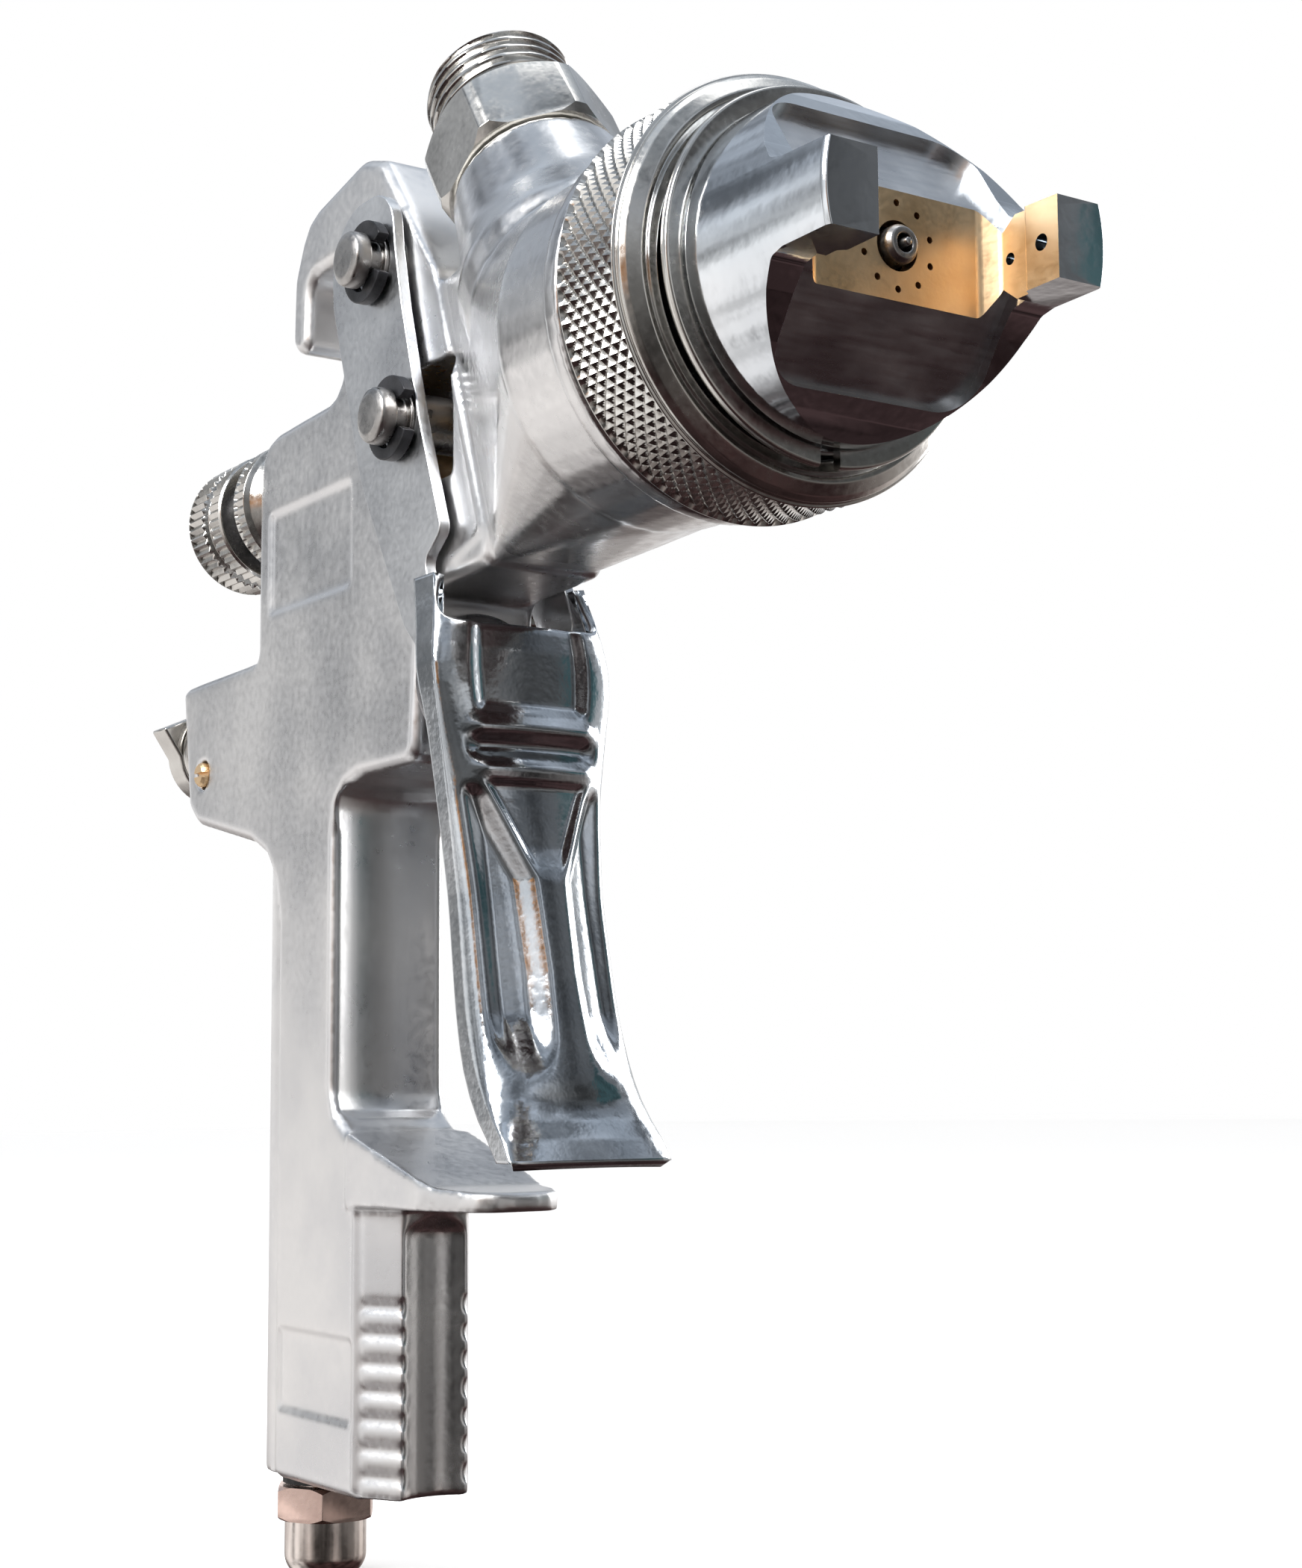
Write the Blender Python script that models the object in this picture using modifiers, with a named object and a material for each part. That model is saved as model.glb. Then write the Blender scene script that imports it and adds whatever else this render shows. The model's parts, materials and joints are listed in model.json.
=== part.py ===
"""A gravity-feed spray gun without its cup, built as an assembly of separate pieces.

Lengths are in millimetres in the gun's own frame: X runs along the barrel in the spray direction,
Y points to the gun's left and Z points up. The barrel's centre line is y = 0, z = 0, and x = 0 is
the rear edge of the knurled retaining ring. One empty moves that frame so that the world's origin
is the flat at the top of the hanging hook's throat.
"""
import math

import bmesh
import bpy
from mathutils import Matrix, Vector

MM = 0.001
GAP = 0.3                      # clearance between pieces that touch
THROUGH = 40.0                 # how far a cutter reaches past the casting on each side

# Facets around a full turn
FINE = 48
MEDIUM = 32
COARSE = 20
SMALL = 12

# Casting
THROAT_TOP = Vector((-71.3, 0.0, 24.0))
CASTING_HALF = 7.3
COLUMN_X = -83.3
COLUMN_RADIUS = 6.9
GRIP_BACK = COLUMN_X + 0.55
GRIP_BOTTOM = -115.8
BARREL_RADIUS = 18.0
BARREL_REAR = -13.5
NOSE_RADIUS = 16.8
NOSE_FRONT = 5.0
RIDGE_TOP = Vector((-44.6, CASTING_HALF - 0.7, 14.8))
RIDGE_FOOT = Vector((-34.4, CASTING_HALF - 0.7, -15.4))
GRIP_FRONT_TOP = -83.0
RIB_COUNT = 7
RIB_PITCH = 3.0
RIB_DEPTH = 1.5
SLOT_X = (-58.0, -41.3)
SLOT_Z = (-7.2, 5.8)

# Cup nipple: its axis leans back from a point on top of the barrel
NIPPLE_FOOT = Vector((-32.8, 0.0, 20.0))
NIPPLE_TILT = math.radians(33.0)
NECK_TOP = 3.7
NIPPLE_SHOULDER = 13.5
NIPPLE_TOP = 21.6
THREAD_RADIUS = 8.33

# Trigger and its two pins
PIVOT = Vector((-55.2, 0.0, 19.2))
PUSH_PIN = Vector((-49.1, 0.0, 0.1))
EAR_INNER = 7.9
EAR_OUTER = 9.2
PIN_END = 13.3
PIN_RADIUS = 3.1
SHEET = 1.3
TRIGGER_FOOT = -79.0

# Needle line
NOZZLE_TIP = 24.9
NEEDLE_RADIUS = 1.2
NEEDLE_TAIL = -99.0
KNOB_RADIUS = 8.3
KNOB_REAR = -108.7

# Air valve line, under the needle
VALVE_Z = -28.5
FAN_X = -72.0
RISER_X = -60.2
SET_SCREW = Vector((-104.9, 0.0, -32.6))
FAN_Z = -12.8

# Spray head
RING_RADIUS = 20.0
RING_FRONT = 11.3
CAP_FRONT = 33.3
CAP_FACE = 23.8
CAP_RADIUS = 15.7

# Air inlet
INLET_BOTTOM = -127.0
INLET_RADIUS = 4.7

# (base colour, roughness, metallic)
FINISHES = {
    "cast_aluminium": ((0.66, 0.67, 0.68), 0.38, 1.0),
    "chrome": ((0.80, 0.81, 0.83), 0.08, 1.0),
    "nickel": ((0.70, 0.68, 0.64), 0.22, 1.0),
    "steel": ((0.48, 0.47, 0.46), 0.32, 1.0),
    "brass": ((0.83, 0.62, 0.28), 0.28, 1.0),
    "spring_steel": ((0.40, 0.40, 0.41), 0.35, 1.0),
    "blackened_steel": ((0.03, 0.03, 0.033), 0.42, 0.6),
    "copper_tint": ((0.74, 0.52, 0.42), 0.20, 1.0),
    "rubber": ((0.02, 0.02, 0.02), 0.75, 0.0),
    "white_plastic": ((0.80, 0.79, 0.75), 0.50, 0.0),
}


def clear_scene():
    """Remove every object of the startup scene."""
    for thing in list(bpy.data.objects):
        bpy.data.objects.remove(thing, do_unlink=True)


def new_collection(name):
    """Make a collection under the scene's own."""
    group = bpy.data.collections.new(name)
    bpy.context.scene.collection.children.link(group)
    return group


def finish_material(finish):
    """Return the Principled material of one finish, made on first use."""
    known = bpy.data.materials.get(finish)
    if known:
        return known
    colour, roughness, metallic = FINISHES[finish]
    made = bpy.data.materials.new(finish)
    made.use_nodes = True
    shader = made.node_tree.nodes["Principled BSDF"]
    shader.inputs["Base Color"].default_value = (*colour, 1.0)
    shader.inputs["Roughness"].default_value = roughness
    shader.inputs["Metallic"].default_value = metallic
    made.diffuse_color = (*colour, 1.0)
    return made


def place(thing, location, turn=None):
    """Put an object in the gun's frame: a location in millimetres and an optional rotation."""
    thing.parent = gun_frame
    thing.location = Vector(location) * MM
    if turn is not None:
        thing.rotation_euler = turn.to_euler()


def part(name, mesh, finish, location=(0, 0, 0), turn=None):
    """Make one named piece of the gun."""
    thing = bpy.data.objects.new(name, mesh)
    gun.objects.link(thing)
    mesh.materials.append(finish_material(finish))
    place(thing, location, turn)
    return thing


def tool(name, mesh, location=(0, 0, 0), turn=None):
    """Make a hidden helper solid that a Boolean uses."""
    thing = bpy.data.objects.new(name, mesh)
    cutters.objects.link(thing)
    thing.hide_render = True
    thing.display_type = "WIRE"
    place(thing, location, turn)
    return thing


def boolean(target, other, operation, solver="EXACT"):
    """Add a Boolean to a piece. The casting needs the manifold solver, because exact leaves slits in it."""
    step = target.modifiers.new(operation.lower() + "_" + other.name, "BOOLEAN")
    step.operation = operation
    step.solver = solver
    step.object = other


def cut(target, *others, solver="EXACT"):
    """Cut helper solids out of a piece."""
    for other in others:
        boolean(target, other, "DIFFERENCE", solver)


def join(target, *others, solver="EXACT"):
    """Join helper solids onto a piece."""
    for other in others:
        boolean(target, other, "UNION", solver)


def along(direction):
    """Rotation that takes local +Z onto a direction."""
    return Vector(direction).to_track_quat("Z", "Y").to_matrix()


ALONG_X = Matrix.Rotation(math.radians(90), 3, "Y")
ALONG_Y = Matrix.Rotation(math.radians(-90), 3, "X")
UPRIGHT = Matrix.Rotation(math.radians(90), 3, "X")


def turned_mesh(name, profile):
    """Mesh of a profile's points (radius, height) joined by edges, ready for a Screw modifier.

    The points run down the outer side from top to bottom. A profile that doesn't start and end on
    the axis is closed, so it makes a tube or a ring.
    """
    mesh = bpy.data.meshes.new(name)
    shape = bmesh.new()
    points = [shape.verts.new((radius * MM, 0.0, height * MM)) for radius, height in profile]
    for first, second in zip(points, points[1:]):
        shape.edges.new((first, second))
    if profile[0][0] > 0:
        shape.edges.new((points[-1], points[0]))
    shape.to_mesh(mesh)
    shape.free()
    return mesh


def spin(thing, steps):
    """Turn a profile about its local Z axis into a solid."""
    screw = thing.modifiers.new("turned", "SCREW")
    screw.steps = steps
    screw.render_steps = steps
    screw.use_merge_vertices = True
    screw.merge_threshold = 0.00001
    screw.use_smooth_shade = False


def turned(name, profile, finish, location=(0, 0, 0), turn=ALONG_X, steps=MEDIUM):
    """A turned piece. Heights of the profile run along the axis from the location."""
    thing = part(name, turned_mesh(name, profile), finish, location, turn)
    spin(thing, steps)
    return thing


def turned_tool(name, profile, location=(0, 0, 0), turn=ALONG_X, steps=MEDIUM):
    """A turned helper solid."""
    thing = tool(name, turned_mesh(name, profile), location, turn)
    spin(thing, steps)
    return thing


def rod(name, radius, low, high, location=(0, 0, 0), turn=ALONG_X, steps=COARSE):
    """A round bar as a helper solid, from low to high along its axis."""
    mesh = bpy.data.meshes.new(name)
    shape = bmesh.new()
    middle = Matrix.Translation((0, 0, (low + high) / 2 * MM))
    bmesh.ops.create_cone(shape, cap_ends=True, segments=steps, radius1=radius * MM,
                          radius2=radius * MM, depth=(high - low) * MM, matrix=middle)
    shape.to_mesh(mesh)
    shape.free()
    return tool(name, mesh, location, turn)


def block(name, low, high):
    """A box as a helper solid, from its low corner to its high corner."""
    low = Vector(low)
    high = Vector(high)
    mesh = bpy.data.meshes.new(name)
    shape = bmesh.new()
    size = Matrix.Diagonal((*((high - low) * MM), 1.0))
    bmesh.ops.create_cube(shape, size=1.0, matrix=size)
    shape.to_mesh(mesh)
    shape.free()
    return tool(name, mesh, (low + high) / 2)


def rounded(corners):
    """Points of an outline whose corners are (x, y, radius), with each round corner as an arc."""
    points = []
    for index, (x, y, radius) in enumerate(corners):
        here = Vector((x, y))
        before = Vector(corners[index - 1][:2]) - here
        after = Vector(corners[(index + 1) % len(corners)][:2]) - here
        if radius == 0:
            points.append(here)
            continue
        half_angle = before.angle(after) / 2
        reach = radius / math.tan(half_angle)
        inward = (before.normalized() + after.normalized()).normalized()
        middle = here + inward * radius / math.sin(half_angle)
        start = here + before.normalized() * reach - middle
        sweep = start.angle_signed(here + after.normalized() * reach - middle)
        steps = max(2, round(abs(sweep) / math.radians(30)))
        for step in range(steps + 1):
            arm = start.copy()
            arm.rotate(Matrix.Rotation(-sweep * step / steps, 2))
            points.append(middle + arm)
    return points


def outline_mesh(name, corners, half_thickness):
    """Mesh of a flat outline, thickened both ways from its own XY plane."""
    curve = bpy.data.curves.new(name, "CURVE")
    curve.dimensions = "2D"
    curve.fill_mode = "BOTH"
    curve.extrude = half_thickness * MM
    points = rounded(corners)
    spline = curve.splines.new("POLY")
    spline.points.add(len(points) - 1)
    for point, place_at in zip(spline.points, points):
        point.co = (place_at.x * MM, place_at.y * MM, 0.0, 1.0)
    spline.use_cyclic_u = True
    drawn = bpy.data.objects.new(name, curve)
    bpy.context.scene.collection.objects.link(drawn)
    evaluated = drawn.evaluated_get(bpy.context.evaluated_depsgraph_get())
    mesh = bpy.data.meshes.new_from_object(evaluated)
    bpy.data.objects.remove(drawn)
    bpy.data.curves.remove(curve)
    shape = bmesh.new()
    shape.from_mesh(mesh)
    bmesh.ops.remove_doubles(shape, verts=shape.verts, dist=0.000001)
    bmesh.ops.dissolve_limit(shape, angle_limit=math.radians(1), verts=shape.verts, edges=shape.edges)
    bmesh.ops.recalc_face_normals(shape, faces=shape.faces)
    shape.to_mesh(mesh)
    shape.free()
    mesh.name = name
    return mesh


def soften(thing, width, segments=1):
    """Round a piece's sharp edges."""
    bevel = thing.modifiers.new("soften", "BEVEL")
    bevel.width = width * MM
    bevel.segments = segments
    bevel.limit_method = "ANGLE"
    bevel.angle_limit = math.radians(40)


def coil(name, radius, wire, turns, low, high, line):
    """A compression spring about a line parallel to X, from low to high, with its wire's ends capped."""
    curve = bpy.data.curves.new(name, "CURVE")
    curve.dimensions = "3D"
    curve.bevel_depth = wire * MM
    curve.bevel_resolution = 1
    curve.use_fill_caps = True
    steps = turns * 10
    spline = curve.splines.new("POLY")
    spline.points.add(steps)
    travel = high - low - 2 * wire
    for step, point in enumerate(spline.points):
        angle = 2 * math.pi * step / 10
        along_x = low + wire + travel * step / steps
        point.co = (along_x * MM, radius * math.cos(angle) * MM, radius * math.sin(angle) * MM, 1.0)
    thing = bpy.data.objects.new(name, curve)
    gun.objects.link(thing)
    curve.materials.append(finish_material("spring_steel"))
    place(thing, line)
    weld = thing.modifiers.new("close_caps", "WELD")
    weld.merge_threshold = 0.00001
    return thing


def hexagon(across_flats):
    """Corners of a hexagon about the origin."""
    radius = across_flats / math.sqrt(3)
    return [(radius * math.cos(turn), radius * math.sin(turn), 0)
            for turn in (math.radians(30 + 60 * side) for side in range(6))]


def build_gun_body():
    """The aluminium casting: hook, head, neck, grip, finger guard and valve housing, with its bores."""
    outline = [
        (-57.5, 32.6, 2.0), (-45.2, 16.6, 2.0), (-33.2, -14.6, 1.0), (-34.0, -18.3, 1.0),
        (-48.0, -19.0, 1.5), (-49.5, -37.0, 2.0), (-68.3, -37.2, 6.0), (-68.3, -75.2, 4.5),
        (-58.0, -78.4, 1.0), (-58.0, -84.2, 1.0), (-61.8, -84.6, 1.0), (-61.8, GRIP_BOTTOM, 1.0),
        (GRIP_BACK, GRIP_BOTTOM, 0), (GRIP_BACK, -44.0, 10.0), (-107.0, -38.7, 2.0),
        (-109.6, -36.4, 1.5), (-112.0, -20.7, 1.2), (-89.4, -20.2, 1.0), (-89.4, 6.8, 5.0),
        (-67.2, 7.6, 4.0), (-66.5, 24.0, 2.5), (-76.2, 24.0, 2.5), (-76.6, 14.7, 1.4),
        (-80.6, 15.8, 1.6), (-80.3, 24.4, 4.0), (-76.8, 31.4, 6.0), (-62.5, 34.2, 2.0),
    ]
    side_view = outline_mesh("gun_body", outline, CASTING_HALF)
    body = part("gun_body", side_view, "cast_aluminium", turn=UPRIGHT)
    soften(body, 0.9)
    barrel = [(0, -0.4), (17.0, -0.4), (19.3, -0.9), (19.3, -3.2), (BARREL_RADIUS, -4.0),
              (BARREL_RADIUS, BARREL_REAR), (16.5, -16.5), (13.5, -22.0), (0, -22.0)]
    nose = [(0, NOSE_FRONT), (NOSE_RADIUS, NOSE_FRONT), (NOSE_RADIUS, -4.5), (0, -4.5)]
    neck = [(0, NECK_TOP), (9.8, NECK_TOP), (10.4, 0.0), (11.3, -5.0), (13.2, -10.0), (13.2, -14.0),
            (0, -14.0)]
    column_foot = GRIP_BOTTOM + 0.4
    column = [(0, -40.0), (COLUMN_RADIUS, -40.0), (COLUMN_RADIUS, column_foot), (0, column_foot)]
    upright = along((0, 0, 1))
    join(body,
         turned_tool("barrel_shape", barrel, steps=FINE),
         turned_tool("nose_shape", nose, steps=FINE),
         build_head_wedge(),
         turned_tool("neck_shape", neck, NIPPLE_FOOT, along(nipple_axis)),
         turned_tool("column_shape", column, (COLUMN_X, 0, 0), upright),
         build_grip_front(), build_finger_guard(), solver="MANIFOLD")
    cut(body, *body_bores(), solver="MANIFOLD")
    hollow = [(0, -37.8), (10.5, -37.8), (11.9, -40.0), (11.9, -72.5), (10.5, -75.0), (0, -75.0)]
    cut(body, turned_tool("grip_hollow", hollow, (-58.2, 0, 0), upright), solver="MANIFOLD")
    channel = [(0, -85.2), (4.2, -85.4), (5.6, -87.2), (5.6, GRIP_BOTTOM - 1.0), (0, GRIP_BOTTOM - 1.0)]
    cut(body, turned_tool("grip_channel", channel, (-52.7, 0, 0), upright), solver="MANIFOLD")
    return body


def build_head_wedge():
    """The flat-sided wedge between the barrel and the front ridges of the casting, as one hull."""
    mesh = bpy.data.meshes.new("head_wedge")
    shape = bmesh.new()
    for step in range(MEDIUM):
        turn = 2 * math.pi * step / MEDIUM
        rim = Vector((BARREL_REAR - 0.1, math.cos(turn) * (BARREL_RADIUS - 0.15),
                      math.sin(turn) * (BARREL_RADIUS - 0.15)))
        shape.verts.new(rim * MM)
    under = Vector((-35.0, CASTING_HALF - 1.3, -17.8))
    for corner in (RIDGE_TOP, RIDGE_FOOT, under):
        for side in (-1, 1):
            shape.verts.new(Vector((corner.x, side * corner.y, corner.z)) * MM)
    hull = bmesh.ops.convex_hull(shape, input=shape.verts)
    inner = set(hull["geom_interior"]) | set(hull["geom_unused"])
    bmesh.ops.delete(shape, geom=[item for item in inner if isinstance(item, bmesh.types.BMVert)])
    bmesh.ops.recalc_face_normals(shape, faces=shape.faces)
    shape.to_mesh(mesh)
    shape.free()
    return tool("head_wedge", mesh)


def build_grip_front():
    """The narrower front of the lower grip, with a row of cast ribs on each chamfer."""
    front = [(-64.0, -6.6, 0), (-61.6, -6.6, 0), (-57.0, -3.9, 0.6), (-57.0, 3.9, 0.6),
             (-61.6, 6.6, 0), (-64.0, 6.6, 0)]
    half_height = (GRIP_FRONT_TOP - GRIP_BOTTOM - 0.2) / 2
    shape = tool("grip_front", outline_mesh("grip_front", front, half_height),
                 (0, 0, GRIP_FRONT_TOP - half_height))
    first_groove = -95.15
    half_groove = Vector((3.6, 0.9, RIB_DEPTH / 2))
    for rib in range(RIB_COUNT):
        for side in (-1, 1):
            groove = block(f"rib_groove_{rib}_{side}", -half_groove, half_groove)
            groove.location = Vector((-59.5, side * 6.05, first_groove - RIB_PITCH * rib)) * MM
            groove.rotation_euler = (0, 0, side * math.radians(-30))
            cut(shape, groove)
    return shape


def build_finger_guard():
    """The tongue under the trigger: a side profile trimmed to a rounded plan."""
    side = [(-64.0, -76.4, 0), (-46.0, -82.0, 6.0), (-38.0, -82.4, 0.8), (-38.0, -84.4, 0.8),
            (-64.0, -84.6, 0)]
    plan = [(-70.0, -8.0, 0), (-48.0, -7.2, 6.0), (-38.1, -4.9, 4.6), (-38.1, 4.9, 4.6),
            (-48.0, 7.2, 6.0), (-70.0, 8.0, 0)]
    guard = tool("finger_guard", outline_mesh("finger_guard", side, 8.5), turn=UPRIGHT)
    trim = tool("guard_plan", outline_mesh("guard_plan", plan, 12.0), (0, 0, -80.0))
    boolean(guard, trim, "INTERSECT")
    return guard


def body_bores():
    """Every bore, slot and duct of the casting."""
    valve = (0, 0, VALVE_Z)
    duct = (0, 0, FAN_Z)
    feed = along(nipple_axis)
    upright = along((0, 0, 1))
    return [
        block("pin_slot", (SLOT_X[0], -THROUGH, SLOT_Z[0]), (SLOT_X[1], THROUGH, SLOT_Z[1])),
        rod("sleeve_bore", 5.9, -95.0, -79.0),
        rod("spring_bore", 4.6, -80.0, SLOT_X[0] + 1.0),
        rod("packing_bore", 4.2, SLOT_X[1] - 1.0, -33.0),
        rod("needle_bore", 1.7, -34.0, -20.0),
        rod("fluid_chamber", 3.4, -24.0, -8.0),
        rod("nozzle_bore", 6.3, -10.3, 8.0, steps=MEDIUM),
        rod("nipple_bore", 6.6, -4.4, 12.0, NIPPLE_FOOT, feed, MEDIUM),
        rod("feed_bore", 3.2, -24.0, -3.0, NIPPLE_FOOT, feed),
        rod("pivot_bore", PIN_RADIUS + GAP, -THROUGH, THROUGH, PIVOT, ALONG_Y),
        rod("valve_front_bore", 5.3, -65.3, -30.0, valve),
        rod("valve_chamber", 4.7, -93.0, -64.0, valve),
        rod("valve_rear_bore", 5.6, -125.0, -91.5, valve),
        rod("air_duct", 1.7, FAN_X, 8.0, duct),
        rod("rising_duct", 1.7, VALVE_Z, FAN_Z, (RISER_X, 0, 0), upright),
        rod("fan_bore", 3.9, -3.0, 20.0, (FAN_X, 0, FAN_Z), ALONG_Y),
        rod("grip_duct", 2.6, -110.0, VALVE_Z, (COLUMN_X, 0, 0), upright),
        rod("inlet_bore", 3.9, -125.0, -108.0, (COLUMN_X, 0, 0), upright),
        rod("screw_bore", 1.8, -12.0, -3.0, SET_SCREW, ALONG_Y, COARSE),
    ]


def build_cup_nipple():
    """The threaded nipple that takes the paint cup, with its gasket."""
    collar = hexagon(19.0)
    height = (NIPPLE_SHOULDER - NECK_TOP - 2 * GAP - 0.5) / 2
    middle = NECK_TOP + GAP + 0.5 + height
    nipple = part("cup_nipple", outline_mesh("cup_nipple", collar, height), "nickel",
                  NIPPLE_FOOT + nipple_axis * middle, along(nipple_axis))
    round_off = [(0, height + 1), (9.7, height + 1), (10.5, height - 1.4), (10.5, -height + 0.6),
                 (9.4, -height - 1), (0, -height - 1)]
    centre = NIPPLE_FOOT + nipple_axis * middle
    trim = turned_tool("nipple_trim", round_off, centre, along(nipple_axis), MEDIUM)
    boolean(nipple, trim, "INTERSECT")
    root = THREAD_RADIUS - 0.8
    thread = [(0, NIPPLE_TOP), (root, NIPPLE_TOP)]
    pitch = 1.34
    flat = 0.35
    for turn in range(5):
        ridge = NIPPLE_TOP - 0.5 - pitch * turn
        thread += [(THREAD_RADIUS, ridge), (THREAD_RADIUS, ridge - flat), (root, ridge - pitch + flat)]
    thread += [(root, 8.0), (0, 8.0)]
    shank = [(0, 9.0), (6.3, 9.0), (6.3, -3.9), (0, -3.9)]
    join(nipple, turned_tool("cup_thread", thread, NIPPLE_FOOT, along(nipple_axis), MEDIUM),
         turned_tool("nipple_shank", shank, NIPPLE_FOOT, along(nipple_axis)))
    cut(nipple, rod("nipple_passage", 4.6, -10.0, 30.0, NIPPLE_FOOT, along(nipple_axis)))
    gasket = [(9.2, NECK_TOP + 0.55), (9.2, NECK_TOP + 0.2), (6.7, NECK_TOP + 0.2), (6.7, NECK_TOP + 0.55)]
    turned("cup_nipple_gasket", gasket, "white_plastic", NIPPLE_FOOT, along(nipple_axis))


def build_spray_head():
    """Nozzle, gasket, air distribution ring, retaining ring, air cap and its snap ring."""
    nozzle = [(1.95, NOZZLE_TIP), (1.95, 21.2), (3.2, 21.2), (6.4, 9.6), (7.4, 9.4), (8.4, 8.6), (8.4, 6.3),
              (6.0, 6.2), (6.0, -9.7), (2.2, -9.7), (2.2, 17.5), (0.85, 24.2), (0.85, NOZZLE_TIP)]
    turned("fluid_nozzle", nozzle, "steel", steps=MEDIUM)
    turned("cap_seal", [(16.6, 7.5), (16.6, 5.3), (14.6, 5.3), (14.6, 7.5)], "white_plastic", steps=MEDIUM)
    turned("nozzle_gasket", [(8.2, 5.95), (8.2, 5.3), (6.5, 5.3), (6.5, 5.95)], "white_plastic")
    baffle = turned("air_distribution_ring", [(13.6, 7.2), (13.6, 5.3), (9.0, 5.3), (9.0, 7.2)], "brass")
    for hole in range(8):
        angle = math.radians(45 * hole)
        cut(baffle, rod(f"baffle_hole_{hole}", 0.9, 4.0, 9.0,
                        (0, 11.3 * math.cos(angle), 11.3 * math.sin(angle)), steps=SMALL))
    ring = [(17.6, RING_FRONT), (18.1, RING_FRONT), (19.2, 10.6), (RING_RADIUS - 0.4, 10.1),
            (RING_RADIUS, 9.7), (RING_RADIUS, 0.5), (19.6, 0.1), (17.25, 0.1), (17.25, 9.6), (16.1, 9.6),
            (16.1, RING_FRONT - 0.5), (17.0, RING_FRONT - 0.5)]
    turned("retaining_ring", ring, "nickel", steps=FINE)
    build_air_cap()
    split_ring = [(17.45, 14.1), (17.45, 13.1), (15.2, 13.1), (15.2, 14.1)]
    snap = turned("cap_snap_ring", split_ring, "nickel", steps=FINE)
    cut(snap, block("snap_gap", (12.0, -1.4, -19.5), (15.0, 1.4, -12.0)))


def build_air_cap():
    """The air cap: a turned blank with its top and bottom cut away, leaving two horns."""
    blank = [(15.1, CAP_FRONT), (15.3, CAP_FRONT - 0.5), (CAP_RADIUS, 16.0), (CAP_RADIUS, 14.5),
             (14.9, 14.4), (14.9, 12.8), (CAP_RADIUS, 12.7), (CAP_RADIUS, 9.3), (16.9, 9.3), (16.9, 7.8), (14.2, 7.8),
             (14.2, 12.0), (9.0, 20.6), (2.6, 21.9), (2.6, CAP_FRONT)]
    cap = turned("air_cap", blank, "chrome", steps=FINE)
    ahead = CAP_FRONT + 4
    slope = [(15.6, 22.0, 0), (15.6, 16.2, 0), (18.2, 14.0, 0), (21.6, 9.8, 0), (23.9, 6.3, 0),
             (25.6, 4.2, 0), (27.2, 3.8, 0), (ahead, 3.6, 0), (ahead, 22.0, 0)]
    for side, name in ((1, "upper_slope"), (-1, "lower_slope")):
        mirrored = [(x, side * z, radius) for x, z, radius in slope]
        cut(cap, tool(name, outline_mesh(name, mirrored, 22.0), turn=UPRIGHT))
    valley = [(CAP_FACE, -10.6, 0.8), (ahead, -9.6, 0), (ahead, 9.6, 0), (CAP_FACE, 10.6, 0.8)]
    cut(cap, tool("horn_valley", outline_mesh("horn_valley", valley, 9.0)))
    for x in (26.6, 31.2):
        for side in (-1, 1):
            outward = along((0, side, 0))
            cut(cap, rod(f"horn_hole_{x}_{side}", 0.6, 8.0, 12.6, (x, 0, 0), outward, SMALL))


def build_needle_line():
    """Needle, packing, carrier, spring, knob and the threaded sleeve that the knob turns on."""
    needle = [(0, 25.5), (0.35, 25.4), (NEEDLE_RADIUS, 18.5), (NEEDLE_RADIUS, NEEDLE_TAIL),
              (0, NEEDLE_TAIL)]
    turned("fluid_needle", needle, "steel", steps=SMALL)
    packing = [(3.9, -33.4), (3.9, -37.0), (1.5, -37.0), (1.5, -33.4)]
    turned("needle_packing", packing, "white_plastic", steps=COARSE)
    nut = [(3.9, -37.3), (3.9, -42.8), (1.5, -42.8), (1.5, -37.3)]
    turned("packing_nut", nut, "brass", steps=COARSE)
    carrier = [(3.6, -53.4), (3.6, -56.6), (4.2, -57.0), (4.2, -62.0), (1.5, -62.0), (1.5, -53.4)]
    turned("needle_carrier", carrier, "brass", steps=COARSE)
    coil("needle_spring", 3.1, 0.4, 8, -86.0, -62.3, (0, 0, 0))
    sleeve = [(5.6, -79.6), (5.6, -102.0), (4.1, -102.0), (4.1, -87.0), (2.2, -87.0), (2.2, -86.3),
              (3.9, -86.3), (3.9, -79.6)]
    turned("knob_sleeve", sleeve, "nickel", steps=MEDIUM)
    locknut = [(6.2, -89.8), (7.6, -91.2), (KNOB_RADIUS, -91.6), (KNOB_RADIUS, -94.4), (5.9, -94.4),
               (5.9, -89.8)]
    turned("knob_locknut", locknut, "nickel", steps=MEDIUM)
    knob = [(0, -104.5), (5.9, -104.5), (5.9, -98.8), (KNOB_RADIUS, -98.8), (KNOB_RADIUS, -102.4),
            (7.4, -102.6), (7.4, -103.8), (KNOB_RADIUS, -104.0), (KNOB_RADIUS, -108.0), (7.6, KNOB_REAR),
            (0, KNOB_REAR)]
    turned("fluid_knob", knob, "nickel", steps=MEDIUM)


def build_fan_control():
    """The spray-width control on the gun's left side."""
    seat = (FAN_X, 0, FAN_Z)
    bush = [(6.0, 12.2), (6.0, 7.7), (3.6, 7.7), (3.6, 0.5), (1.9, 0.5), (1.9, 12.2)]
    turned("fan_control_bush", bush, "nickel", seat, ALONG_Y, COARSE)
    stem = [(0, 20.1), (1.6, 20.1), (1.6, -0.4), (0.6, -2.4), (0, -2.4)]
    turned("fan_control_stem", stem, "steel", seat, ALONG_Y, COARSE)
    knob = [(0, 22.4), (6.4, 22.4), (7.2, 21.6), (7.2, 12.7), (1.9, 12.7), (1.9, 20.4), (0, 20.4)]
    turned("fan_control_knob", knob, "nickel", seat, ALONG_Y, COARSE)


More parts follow.
